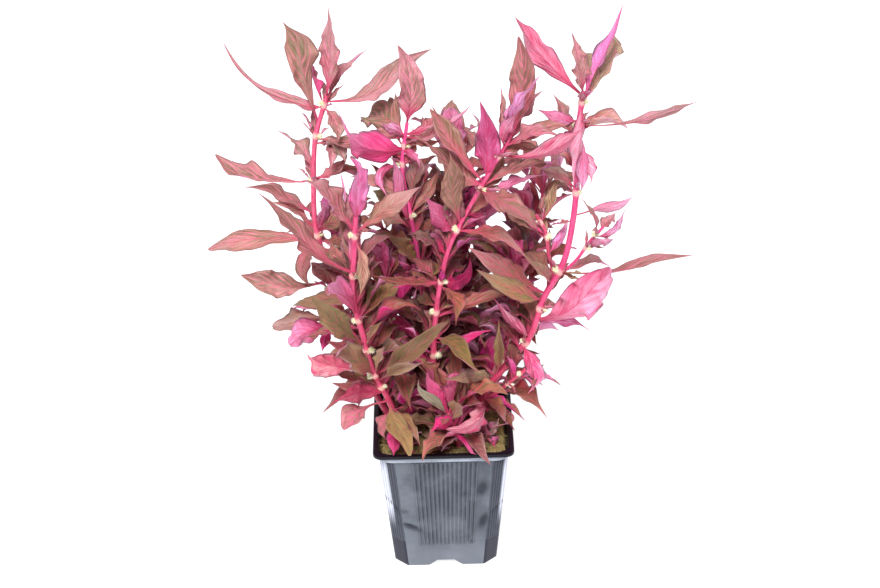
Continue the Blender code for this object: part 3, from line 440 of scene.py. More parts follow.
def dent(mesh):
    """Push a mesh of the pot's wall in at its dents, and keep how deep each corner lies for the painted shade
    that the finish puts in them.
    """
    depths = mesh.attributes.new("dent", "FLOAT", "POINT")
    for vert, depth in zip(mesh.vertices, depths.data):
        pulls = dent_pull(vert.co)
        depth.value = min(1, sum(pulls.values()) / DENT_DARKEST)
        for side, pull in pulls.items():
            vert.co -= Matrix.Rotation(side * math.pi / 2, 3, "Z") @ Vector((0, -1, 0)) * pull * MM


def mesh_of(name, shell):
    """The mesh of a shell of corners and faces, which is then let go."""
    mesh = bpy.data.meshes.new(name)
    shell.to_mesh(mesh)
    shell.free()
    return mesh


def loft(shell, rings):
    """Walls between rings of points, one above the other, and a face over each end."""
    rings = [[shell.verts.new(point) for point in ring] for ring in rings]
    for low, high in zip(rings, rings[1:]):
        for i, corner in enumerate(low):
            after = (i + 1) % len(low)
            shell.faces.new((corner, low[after], high[after], high[i]))
    shell.faces.new(rings[0][::-1])
    shell.faces.new(rings[-1])


def pot_shell():
    """The pot's wall, rim, feet and floor as one closed lofted shell."""
    taper = (WALL_TOP_HALF - WALL_BASE_HALF) / COLLAR_BASE
    floor_top = FLOOR_UNDERSIDE + FLOOR
    flange_base = POT_HEIGHT - FLANGE_DEPTH
    outside = filleted([
        (WALL_BASE_HALF - FOOT_WIDTH, CHAMFER_BASE, 0, 0),
        (WALL_BASE_HALF, CHAMFER_BASE, 0, 0),
        (WALL_TOP_HALF, CHAMFER_TOP, 0, COLLAR_BASE),
        (COLLAR_HALF, CHAMFER_TOP, 1, COLLAR_BASE + WALL / 2),
        (COLLAR_HALF, CHAMFER_TOP, 1, flange_base),
        (FLANGE_HALF, FLANGE_CORNER, 1, flange_base),
        (FLANGE_HALF, FLANGE_CORNER, 1, POT_HEIGHT),
        (COLLAR_HALF - WALL, CHAMFER_TOP - WALL, 1, POT_HEIGHT),
        (WALL_TOP_HALF - WALL, CHAMFER_TOP - WALL, 0, COLLAR_BASE),
        (WALL_BASE_HALF - WALL + taper * floor_top, CHAMFER_BASE - WALL / 2, 0, floor_top),
    ], EDGE_ROUNDING)
    rows = [Vector((WALL_BASE_HALF - FOOT_WIDTH, CHAMFER_BASE, 0, FLOOR_UNDERSIDE))]
    rows += divided(outside, LONGEST_STRETCH)
    shell = bmesh.new()
    loft(shell, [[(p.x * MM, p.y * MM, height * MM) for p in pot_outline(half, chamfer, roundness)]
                 for half, chamfer, roundness, height in rows])
    return mesh_of("pot_shell", shell)


def pot_cuts():
    """What is cut from the shell: a notch under each side and four drain holes."""
    cuts = bmesh.new()
    for quarter in range(4):
        turn = Matrix.Rotation(quarter * math.pi / 2, 4, "Z")
        section = [(-NOTCH_WIDTH / 2 - 1, -1), (NOTCH_WIDTH / 2 + 1, -1),
                   (NOTCH_TOP_WIDTH / 2, NOTCH_HEIGHT), (-NOTCH_TOP_WIDTH / 2, NOTCH_HEIGHT)]
        loft(cuts, [[turn @ Vector((x * MM, y * MM, z * MM)) for x, z in section]
                    for y in (-WALL_BASE_HALF - NOTCH_REACH, -WALL_BASE_HALF + NOTCH_REACH)])
        drain = turn @ Vector((DRAIN_OFFSET, DRAIN_OFFSET, FLOOR_UNDERSIDE + FLOOR / 2)) * MM
        bmesh.ops.create_cone(cuts, cap_ends=True, segments=DRAIN_SIDES, radius1=DRAIN_RADIUS * MM,
                              radius2=DRAIN_RADIUS * MM, depth=3 * FLOOR * MM,
                              matrix=Matrix.Translation(drain))
    bmesh.ops.recalc_face_normals(cuts, faces=cuts.faces)
    return mesh_of("pot_cuts", cuts)


def shape_tree(name, sizes):
    """A Geometry Nodes tree with a seed going in, a shape coming out and an input for each named size."""
    tree = bpy.data.node_groups.new(name, "GeometryNodeTree")
    tree.interface.new_socket("Seed", in_out="INPUT", socket_type="NodeSocketGeometry")
    for size, value in sizes.items():
        kind = "NodeSocketInt" if isinstance(value, int) else "NodeSocketFloat"
        tree.interface.new_socket(size, in_out="INPUT", socket_type=kind).default_value = value
    tree.interface.new_socket("Shape", in_out="OUTPUT", socket_type="NodeSocketGeometry")
    sheet = Sheet(tree)
    source = tree.nodes.new("NodeGroupInput")
    return sheet, {socket.name: Wire(sheet, socket) for socket in source.outputs if socket.name}


def end_tree(sheet, shape, material, smooth=True):
    """Close a tree: the shape goes out with its instances made real, in its material."""
    shape = sheet.node("GeometryNodeSetShadeSmooth", None, {0: shape, "Shade Smooth": smooth})
    shape = sheet.node("GeometryNodeRealizeInstances", None, {0: shape})
    shape = sheet.node("GeometryNodeSetMaterial", None, {0: shape, "Material": material})
    sheet.node("NodeGroupOutput", None, {0: shape})
    return sheet.tree


def settled(item):
    """The plain mesh that an object's modifiers make, with the object taken away."""
    seen = item.evaluated_get(bpy.context.evaluated_depsgraph_get())
    mesh = bpy.data.meshes.new_from_object(seen, preserve_all_data_layers=True,
                                           depsgraph=bpy.context.evaluated_depsgraph_get())
    bpy.data.objects.remove(item)
    return mesh


def grown(name, seed, tree, **sizes):
    """The plain mesh that a tree makes from a seed mesh, with some of its named sizes set."""
    item = add_piece(name, seed)
    growth = item.modifiers.new(tree.name, "NODES")
    growth.node_group = tree
    for socket in tree.interface.items_tree:
        if socket.in_out == "INPUT" and socket.name in sizes:
            growth[socket.identifier] = sizes[socket.name]
    mesh = settled(item)
    mesh.name = name
    return mesh


def rib_tree(material):
    """Upright ribs: each edge of the seed becomes a flat rounded bar that is half sunk in the wall."""
    sheet, given = shape_tree("pot_ribs", {
        "Breadth": RIB_HALF_WIDTH * MM, "Rise": RIB_RISE * MM, "Steps": 30})
    line = sheet.node("GeometryNodeMeshToCurve", None, {0: given["Seed"]})
    line = sheet.node("GeometryNodeResampleCurve", None, {0: line, "Count": given["Steps"]})
    ring = sheet.node("GeometryNodeCurvePrimitiveCircle", None, {"Resolution": 10, "Radius": 1.0})
    x, y, _ = sheet.node("GeometryNodeInputPosition").parts()
    ring = sheet.node("GeometryNodeSetPosition", None,
                      {0: ring, "Position": sheet.arrow(x * given["Breadth"], y * given["Rise"], 0.0)})
    return end_tree(sheet, sheet.tube(line, ring), material)


def wall_half(height):
    """How far the wall's outer face stands from the pot's axis at a height, in mm."""
    return WALL_BASE_HALF + (WALL_TOP_HALF - WALL_BASE_HALF) * height / COLLAR_BASE


def wall_chamfer(height):
    """How much is cut off the wall's corners at a height, in mm."""
    return CHAMFER_BASE + (CHAMFER_TOP - CHAMFER_BASE) * height / COLLAR_BASE


def rib_lines():
    """The ribs' middle lines: a panel on each side and a few on each cut corner."""
    mesh = bpy.data.meshes.new("rib_lines")
    points = []
    for quarter in range(4):
        turn = Matrix.Rotation(quarter * math.pi / 2, 3, "Z")
        for k in range(PANEL_RIBS):
            share = 2 * k / (PANEL_RIBS - 1) - 1
            for half, height in zip(PANEL_HALVES, (PANEL_FOOT, PANEL_RIBS_TOP)):
                points.append(turn @ Vector((half * share + PANEL_SHIFT, -wall_half(height), height)) * MM)
        for k in range(CORNER_RIBS):
            share = (k + 1) / (CORNER_RIBS + 1)
            for height in (CORNER_RIBS_FOOT, CORNER_RIBS_TOP):
                half, chamfer = wall_half(height), wall_chamfer(height)
                corner = Vector((half - chamfer * (1 - share), -half + chamfer * share, height))
                points.append(turn @ corner * MM)
    mesh.from_pydata(points, [(i, i + 1) for i in range(0, len(points), 2)], [])
    return mesh


def joined(name, meshes):
    """One object of several meshes, with their materials and attributes kept."""
    items = [add_piece(name, mesh) for mesh in meshes]
    if len(items) > 1:
        with bpy.context.temp_override(active_object=items[0], object=items[0],
                                       selected_editable_objects=items, selected_objects=items):
            bpy.ops.object.join()
    items[0].name = name
    return items[0]


def make_pot():
    """The finished pot: the shell with its cuts, the ribs on it and the same dents in both."""
    plastic = pot_finish()
    shell = add_piece("pot_wall", pot_shell())
    shell.data.materials.append(plastic)
    cutter = add_piece("pot_cuts", pot_cuts())
    cut = shell.modifiers.new("feet and drain holes", "BOOLEAN")
    cut.operation = "DIFFERENCE"
    cut.object = cutter
    wall = settled(shell)
    bpy.data.objects.remove(cutter)
    dent(wall)
    wall.shade_smooth()
    wall.set_sharp_from_angle(angle=SHARP_ANGLE)
    ribs = grown("pot_ribs", rib_lines(), rib_tree(plastic))
    dent(ribs)
    pot = joined("pot_dressed", [wall, ribs])
    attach(pot, "root")
    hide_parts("pot")


make_pot()

# The growing medium.
# A block of matted olive-brown fibres that fills the pot to just under its rim. Its top is lumpy, with
# loose fibre ends lying every way.
MEDIUM_TOP = 89.5
MEDIUM_LUMPS = 0.9
MEDIUM_INSET = 2.0
MEDIUM_RINGS = 26
MEDIUM_WAIST = 0.92
MEDIUM_HEART = 0.985
FIBRE_COUNT = 2600
FIBRE_LENGTH = 9 * MM
FIBRE_RADIUS = 0.16 * MM
FIBRE_SIZES = (0.4, 1.2)


def fibre_finish():
    """Moist matted fibre: olive and yellow-brown, with painted shade that darkens its pits."""
    material, sheet, shader = new_finish("fibre", {"Specular IOR Level": 0.3})
    place = sheet.place()
    patch = sheet.speckle(place, 160.0, 4.0, 0.65)
    grain = sheet.speckle(place, 1100.0, 3.0, 0.7)
    # Painted shade: the dark base colour stays where the bump's pits lie.
    colour = sheet.coat((0.1, 0.065, 0.024), (patch.step(0.3, 0.7), (0.36, 0.26, 0.09)),
                        (grain.step(0.35, 0.75) * 0.6, (0.52, 0.43, 0.2)))
    feed(shader, base_color=colour, roughness=patch * 0.2 + 0.65,
         normal=sheet.bump(grain + patch, 0.0008, 0.8))
    return material


def medium_block():
    """The block: rings of the pot's own outline, closed below and lumpy above."""
    rows = [(MEDIUM_WAIST, height) for height in (FLOOR_UNDERSIDE + FLOOR + 0.4, 40, 78)]
    rows.append((1.0, MEDIUM_TOP - 2))
    rows += [(1 - MEDIUM_HEART * (k / MEDIUM_RINGS), MEDIUM_TOP) for k in range(1, MEDIUM_RINGS + 1)]
    rings = []
    for scale, height in rows:
        ring = []
        for point in pot_outline(wall_half(height) - MEDIUM_INSET, wall_chamfer(height), 0):
            spot = Vector((point.x * scale, point.y * scale, height))
            if height == MEDIUM_TOP:
                lump = noise.noise(spot * 0.16) + 0.6 * noise.noise(spot * 0.5 + Vector((3, 7, 1)))
                spot.z += lump * MEDIUM_LUMPS - 0.4
            ring.append(spot * MM)
        rings.append(ring)
    shell = bmesh.new()
    loft(shell, rings)
    return mesh_of("medium_block", shell)


def fibre_tree(material):
    """Fibres that lie on the top of the seed block, each a short bent strand turned its own way."""
    sheet, given = shape_tree("fibres", {
        "Density": 400000.0, "Length": FIBRE_LENGTH, "Radius": FIBRE_RADIUS, "Shuffle": 3})
    up = sheet.node("GeometryNodeInputNormal").parts()[2]
    z = sheet.node("GeometryNodeInputPosition").parts()[2]
    spread = sheet.node("GeometryNodeDistributePointsOnFaces", None,
                        {0: given["Seed"], "Selection": (up > 0.8) * (z > 0.08),
                         "Density": given["Density"], "Seed": given["Shuffle"]})
    strand = sheet.node("GeometryNodeCurveQuadraticBezier", None,
                        {"Resolution": 5, "Start": (-0.5, 0.0, 0.0), "Middle": (0.0, 0.35, 0.1),
                         "End": (0.5, 0.0, 0.03)})
    strand = sheet.node("GeometryNodeTransform", None,
                        {0: strand, "Scale": sheet.arrow(given["Length"], given["Length"], given["Length"])})
    ring = sheet.node("GeometryNodeCurvePrimitiveCircle", None, {"Resolution": 4, "Radius": given["Radius"]})
    strand = sheet.tube(strand, ring)
    turn = sheet.draw((-0.25, -0.35, 0.0), (0.25, 0.15, 6.28), given["Shuffle"])
    size = sheet.draw(*FIBRE_SIZES, given["Shuffle"])
    return end_tree(sheet, sheet.scatter(spread, strand, turn, size), material)


def make_medium():
    """The block with its loose fibres."""
    fibre = fibre_finish()
    block = medium_block()
    top_area = (2 * wall_half(MEDIUM_TOP) * MM) ** 2
    strands = grown("fibres", block.copy(), fibre_tree(fibre), Density=FIBRE_COUNT / top_area)
    block.materials.append(fibre)
    block.shade_smooth()
    medium = joined("medium_dressed", [block, strands])
    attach(medium, "root")
    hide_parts("growing_medium")


make_medium()

# The stems.
# Each is a round, lightly grooved stalk of watery red-pink tissue, swollen and paler where its leaves
# stand. The front ones follow the drawing; those behind and between them are laid out in space.
GAP = 0.35 * MM
STEM_STEP = 30 * MM
NODE_SWELL = 1.35
CURVE_STEPS = 8
SOCKET_DEPTH = 5 * MM
SOCKET_FILLED = 0.6
FOOT_RISE = 2.5 * MM
HEAD_RADIUS = 1.8 * MM
HEAD_STANDS = 0.5
HEAD_SIDES = (325, 205)
SKIN_STEP = 1.6 * MM
KNOB_REACH = 2.6 * MM
KNOB_SWELL = 0.42
SKIN_SLIMNESS = 0.94
SKIN_SIDES = 18
SKIN_GROOVES = 5
# The rule for the nodes of the back stems, in mm along a stem.
FIRST_NODE = 14
NODE_SPACING = 24
# How far some stems go from red to magenta.
STEM_HUES = {"stem_3": 0.55, "stem_5": 0.35, "stem_4": 0.2, "stem_2": 0.2, "shoot_right": 0.4}
# Each front stem: its route on the drawing as (across, up, depth) in mm, its radius at the foot and at
# the tip, and the heights on the drawing of the nodes that carry flower heads.
FRONT_STEMS = {
    "stem_1": ([(-34, 21, 4), (-47, 47, 8), (-60, 70, 12), (-68, 97, 16), (-73, 119, 19), (-77, 144, 21),
                (-81, 156, 22), (-81, 181, 24), (-79, 211, 26), (-76, 227, 27), (-71, 237, 28)],
               (2.2, 1.2), [88, 111, 146, 181, 211, 231]),
    "stem_2": ([(-27, 12, -17), (-33, 30, -20), (-38, 46, -23), (-45, 56, -27), (-48, 73, -31),
                (-55, 90, -34), (-58, 119, -38), (-56, 130, -39), (-52, 145, -40), (-54, 158, -40)],
               (2.2, 1.3), [46, 54, 70, 90, 119, 145]),
    "stem_3": ([(-6, 20, 4), (-8, 46, 6), (-8, 69, 8), (-11, 104, 10), (-15, 140, 12), (-18, 157, 13),
                (-21, 172, 14), (-23, 191, 15), (-24, 203, 16), (-19, 218, 17)],
               (2.3, 1.2), [87, 121, 157, 191, 203]),
    "stem_4": ([(-6, 13, -13), (-7, 33, -15), (-5, 66, -19), (-3, 94, -22), (1, 115, -24), (4, 128, -24),
                (12, 148, -24), (18, 157, -24), (26, 174, -23), (38, 188, -22), (42, 195, -21),
                (49, 208, -20)],
               (2.3, 1.2), [66, 94, 114, 147, 174, 195]),
    "stem_5": ([(19, 17, 0), (24, 36, -4), (33, 46, -8), (48, 65, -13), (57, 73, -15), (64, 94, -18),
                (74, 111, -19), (80, 122, -19), (83, 129, -19), (88, 151, -18), (91, 171, -16),
                (93, 225, -8), (97, 236, -6)],
               (2.6, 1.3), [46, 73, 95, 119, 170, 213, 229]),
    "shoot_right": ([(96, 135, -22), (105, 142, -24), (108, 147, -25)], (1.2, 0.9), [134, 142]),
    "shoot_left": ([(71, 141, -16), (66, 151, -14), (64, 156, -14)], (1.2, 0.9), [141, 151]),
    "shoot_low": ([(40, 44, -19), (51, 51, -25), (54, 54, -27)], (1.1, 0.8), [46, 52]),
}
# The side shoots: the stem that each grows out of, and the height on the drawing where it does.
SHOOT_ROOTS = {"shoot_right": ("stem_5", 122), "shoot_left": ("stem_5", 118), "shoot_low": ("stem_5", 41)}
SHOOT_KNEE = 2.5 * MM
# Each stem behind and between them: its route in space as (x, y, z) in mm, its radii, and the angle
# round the stem at which its first pair of leaves stands.
BACK_STEMS = {
    "stem_6": ([(-18, 20, 86), (-22, 32, 120), (-26, 46, 165), (-22, 60, 220)], (2.0, 1.1), 20),
    "stem_7": ([(10, 22, 86), (16, 36, 120), (19, 52, 175), (10, 68, 250)], (2.1, 1.1), 70),
    "stem_8": ([(30, 18, 86), (40, 30, 120), (56, 46, 170), (70, 60, 232)], (2.0, 1.1), 115),
    "stem_9": ([(-31, 24, 86), (-42, 38, 112), (-56, 54, 148), (-66, 70, 190)], (1.9, 1.0), 40),
    "stem_10": ([(-4, 33, 86), (-6, 50, 112), (-8, 68, 152), (-12, 80, 204)], (1.9, 1.0), 10),
    "stem_11": ([(30, 32, 86), (40, 50, 112), (52, 66, 144), (62, 78, 182)], (1.8, 1.0), 85),
    "stem_12": ([(10, -28, 86), (8, -36, 104), (4, -42, 124)], (1.7, 1.0), 60),
    "stem_13": ([(20, 12, 86), (32, 12, 118), (42, 8, 155), (50, 4, 192)], (1.8, 1.0), 0),
    "stem_14": ([(-20, -4, 86), (-26, -4, 118), (-32, -2, 155), (-34, 2, 200)], (1.8, 1.0), 50),
}


def nearest(points, place):
    """The number of the point that is nearest to a place."""
    return min(range(len(points)), key=lambda i: (points[i] - place).length_squared)


def compass(around):
    """The level direction at an angle round the plant, in radians."""
    return Vector((math.cos(around), math.sin(around), 0))


def squared(arrow, along):
    """The direction of an arrow when what lies along another direction is taken off it."""
    return (arrow - along * arrow.dot(along)).normalized()


def planted(points):
    """A route whose foot stands upright in its socket before the stem leans away."""
    foot = points[0]
    low = Vector((foot.x, foot.y, MEDIUM_TOP * MM - SOCKET_FILLED * SOCKET_DEPTH))
    high = Vector((foot.x, foot.y, MEDIUM_TOP * MM + FOOT_RISE))
    return [low, high] + points[1:]


def branched(points, root, direction, radius):
    """A shoot's route, which leaves the side of its stem squarely and then turns up beside it."""
    out = squared(points[0] - root, direction)
    start = root + out * (radius * NODE_SWELL + 2 * GAP)
    return [start, start + out * SHOOT_KNEE] + points


def smooth_route(points, spacing):
    """Points about one spacing apart on the smooth curve (Catmull-Rom) through a route's points."""
    padded = [points[0] * 2 - points[1]] + points + [points[-1] * 2 - points[-2]]
    fine = [points[0]]
    for a, b, c, d in zip(padded, padded[1:], padded[2:], padded[3:]):
        for step in range(1, CURVE_STEPS + 1):
            t = step / CURVE_STEPS
            fine.append((b * 2 + (c - a) * t + (a * 2 - b * 5 + c * 4 - d) * t * t
                         + (b * 3 - a - c * 3 + d) * t * t * t) / 2)
    total = sum((b - a).length for a, b in zip(fine, fine[1:]))
    count = max(2, round(total / spacing))
    route, walked, wanted = [fine[0]], 0.0, 1
    for a, b in zip(fine, fine[1:]):
        step = (b - a).length
        while wanted < count and walked + step >= total * wanted / count:
            route.append(a.lerp(b, (total * wanted / count - walked) / step))
            wanted += 1
        walked += step
    return route + [fine[-1]]


class Stem:
    """One stem: the points of its middle line and the radius at each, its leaves and its flower heads."""

    def __init__(self, name, points, radii, node_heights=()):
        self.name = name
        self.points = points
        foot, tip = (r * MM for r in radii)
        self.radii = [foot + (tip - foot) * i / (len(points) - 1) for i in range(len(points))]
        self.heights = [height_on_drawing(p) for p in points]
        for height in node_heights:
            near = min(range(len(points)), key=lambda i: abs(self.heights[i] - height))
            self.radii[near] *= NODE_SWELL
        self.leaves = []
        self.heads = []

    def at_height(self, height):
        """The point, direction and radius where the stem crosses a height on the drawing."""
        last = len(self.points) - 2
        i = next((i for i in range(last) if self.heights[i + 1] >= height), last)
        span = self.heights[i + 1] - self.heights[i]
        t = min(0.8 if i == last else 1, max(0.2 if i == 0 else 0, (height - self.heights[i]) / span))
        point = self.points[i].lerp(self.points[i + 1], t)
        radius = self.radii[i] + (self.radii[i + 1] - self.radii[i]) * t
        return point, (self.points[i + 1] - self.points[i]).normalized(), radius

    def at_length(self, length):
        """The point, direction and radius at a distance along the stem from its foot."""
        for i in range(len(self.points) - 1):
            step = self.points[i + 1] - self.points[i]
            if length <= step.length or i == len(self.points) - 2:
                t = min(1, length / step.length)
                radius = self.radii[i] + (self.radii[i + 1] - self.radii[i]) * t
                return self.points[i] + step * t, step.normalized(), radius
            length -= step.length

    def length(self):
        return sum((b - a).length for a, b in zip(self.points, self.points[1:]))

    def nodes(self):
        """How far along the stem, in mm, the rule puts its nodes."""
        count = max(1, int((self.length() / MM - FIRST_NODE) / NODE_SPACING) + 1)
        return [FIRST_NODE + NODE_SPACING * node for node in range(count)]


def head_centre(point, direction, radius, around):
    """Where a flower head sits: in the angle of a leaf, half sunk in the stem's side."""
    side = squared(compass(math.radians(around)), direction)
    return point + side * (radius + HEAD_RADIUS * HEAD_STANDS) + direction * HEAD_RADIUS * HEAD_STANDS


def shape_of(mesh):
    """Corners and faces of a mesh, as the thicket takes them."""
    return [v.co.copy() for v in mesh.vertices], [tuple(p.vertices) for p in mesh.polygons]


def head_ball(centre):
    """Corners and faces of a flower head's solid, a small faceted ball."""
    ball = bmesh.new()
    bmesh.ops.create_uvsphere(ball, u_segments=4, v_segments=2, radius=HEAD_RADIUS,
                              matrix=Matrix.Translation(centre))
    return shape_of(mesh_of("head", ball))


def lay_out_stems():
    """Every stem by name, those of the drawing first, with the flower heads of those."""
    stems = {}
    for name, (route, radii, nodes) in FRONT_STEMS.items():
        points = [from_drawing(*place) for place in route]
        if name in SHOOT_ROOTS:
            parent, height = SHOOT_ROOTS[name]
            points = branched(points, *stems[parent].at_height(height))
            stems[name] = Stem(name, smooth_route(points, STEM_STEP / 2), radii, nodes)
        else:
            points = planted(points)
            stems[name] = Stem(name, points[:1] + smooth_route(points[1:], STEM_STEP), radii, nodes)
        for order, height in enumerate(nodes):
            place = stems[name].at_height(height)
            stems[name].heads.append(head_centre(*place, HEAD_SIDES[order % 2]))
    for name, (route, radii, _) in BACK_STEMS.items():
        points = planted([Vector(place) * MM for place in route])
        stems[name] = Stem(name, points[:1] + smooth_route(points[1:], STEM_STEP), radii)
    return stems


def seed_mesh(name, places, links=(), **traits):
    """A mesh of loose points or lines whose points carry named numbers, vectors or colours."""
    mesh = bpy.data.meshes.new(name)
    mesh.from_pydata(places, links, [])
    kinds = {1: ("FLOAT", "value"), 3: ("FLOAT_VECTOR", "vector"), 4: ("FLOAT_COLOR", "color")}
    for trait, values in traits.items():
        size = 1 if isinstance(values[0], float) else len(values[0])
        kind, part = kinds[size]
        flat = values if size == 1 else [number for value in values for number in value]
        mesh.attributes.new(trait, kind, "POINT").data.foreach_set(part, flat)
    return mesh


def skin_line(stem):
    """The stem's fine middle line: its points, the radius at each and how near each is to a knob."""
    points = smooth_route(stem.points, SKIN_STEP)
    foot, tip = stem.radii[0], stem.radii[-1]
    radii, pale = [], []
    for i, point in enumerate(points):
        near = min(((point - knob).length for knob in stem.knobs), default=1.0)
        bulge = math.exp(-(near / KNOB_REACH) ** 2)
        radii.append((foot + (tip - foot) * i / (len(points) - 1)) * (SKIN_SLIMNESS + KNOB_SWELL * bulge))
        pale.append(bulge)
    return points, radii, pale


def find_knobs(stem, heights):
    """Where the stem swells: at its nodes' heights on the drawing, or by the rule of the back stems."""
    if heights:
        return [stem.at_height(height)[0] for height in heights]
    return [stem.at_length(along * MM)[0] for along in stem.nodes()]


def stem_finish():
    """Red-pink stem skin: darker streaks, pale cream-pink at the knobs, wet sheen."""
    material, sheet, shader = new_finish("stem_skin", {
        "Specular IOR Level": 0.5, "Subsurface Weight": 0.25, "Subsurface Radius": (1.0, 0.25, 0.3),
        "Subsurface Scale": 1.5 * MM})
    place = sheet.place()
    x, y, z = place.parts()
    streak = sheet.speckle(sheet.arrow(x, y, z * 0.07), 1500.0, 3.0, 0.6)
    cloud = sheet.speckle(place, 70.0, 3.0, 0.5)
    skin = sheet.coat(
        (0.42, 0.016, 0.07),
        (cloud.step(0.35, 0.65), (0.7, 0.07, 0.18)),
        (streak.step(0.35, 0.72) * 0.5, (0.84, 0.22, 0.34)),
        (z.step(0.3, 0.12) * 0.35, (0.42, 0.012, 0.05)),
        (sheet.painted("hue") * z.step(0.13, 0.24), (0.85, 0.06, 0.32)),
        (sheet.painted("pale").step(0.25, 0.95) * 0.75, (0.88, 0.52, 0.44)))
    feed(shader, base_color=skin, roughness=streak * 0.2 + 0.3,
         normal=sheet.bump(streak + cloud * 0.4, 0.00025, 0.6))
    return material


def skin_tree(material):
    """The skin: the seed line becomes a tube with shallow grooves, as thick as the line's points say."""
    sheet, given = shape_tree("stem_skin", {"Sides": SKIN_SIDES, "Groove": 0.035})
    line = sheet.node("GeometryNodeMeshToCurve", None, {0: given["Seed"]})
    ring = sheet.node("GeometryNodeCurvePrimitiveCircle", None, {"Resolution": given["Sides"], "Radius": 1.0})
    place = sheet.node("GeometryNodeInputPosition")
    x, y, _ = place.parts()
    turn = y.maths("ARCTAN2", x)
    ring = sheet.node("GeometryNodeSetPosition", None,
                      {0: ring, "Position": place * ((turn * SKIN_GROOVES).sine() * given["Groove"] + 1.0)})
    return end_tree(sheet, sheet.tube(line, ring, Scale=sheet.trait("thick")), material)


# The leaves.
# Thin lance-shaped blades in crosswise pairs, each drawn out to a fine tip: folded along a pink midrib and
# wavy at the margins, brown to olive with pink side veins above, hot pink to plum below.
LEAF_KEEL = 0.9 * MM
SKYWARD = Vector((0, 0, 1))
LEAF_DROOP = 0.12
ROOT_SINK = 0.45
# The rule for the leaves on the back stems, in mm and degrees: how far round from a pair its flower head
# sits, the lengths, widths and rises of the leaves at the foot and at the tip of a stem, and how far each
# leaf may stray from them, round the stem in radians.
HEAD_TURN = 55
LEAF_LENGTHS = (56, 46)
LEAF_WIDTHS = (22, 17)
LEAF_RISES = (5, 62)
LENGTH_STRAY = (0.85, 1.2)
WIDTH_STRAY = (0.85, 1.15)
RISE_STRAY = 9
ROUND_STRAY = 0.3
TIP_LEAVES = 4
BACK_TONES = ("copper", "olive", "copper", "rose", "magenta")
# The start of each run of chance: for the leaves of the back stems, for those inside, for the looks of all
# leaves, and for the young ones in the medium.
BACK_SHUFFLE = 11
INNER_SHUFFLE = 5
LOOKS_SHUFFLE = 29
LOW_SHUFFLE = 17
# The colours that single leaves lean to.
TINTS = {"rosy": (0.56, 0.13, 0.15), "dusty": (0.5, 0.27, 0.24), "shell": (0.8, 0.3, 0.36),
         "crimson": (0.44, 0.035, 0.075), "earth": (0.2, 0.085, 0.035), "moss": (0.2, 0.19, 0.06),
         "straw": (0.38, 0.3, 0.12), "haze": (0.4, 0.32, 0.29), "mauve": (0.62, 0.2, 0.46),
         "wine": (0.24, 0.006, 0.055), "rust": (0.3, 0.095, 0.04), "hot": (0.7, 0.012, 0.17),
         "mallow": (0.5, 0.22, 0.32), "ash": (0.44, 0.27, 0.31), "clay": (0.36, 0.22, 0.19),
         "beet": (0.42, 0.09, 0.24), "reed": (0.42, 0.42, 0.3)}
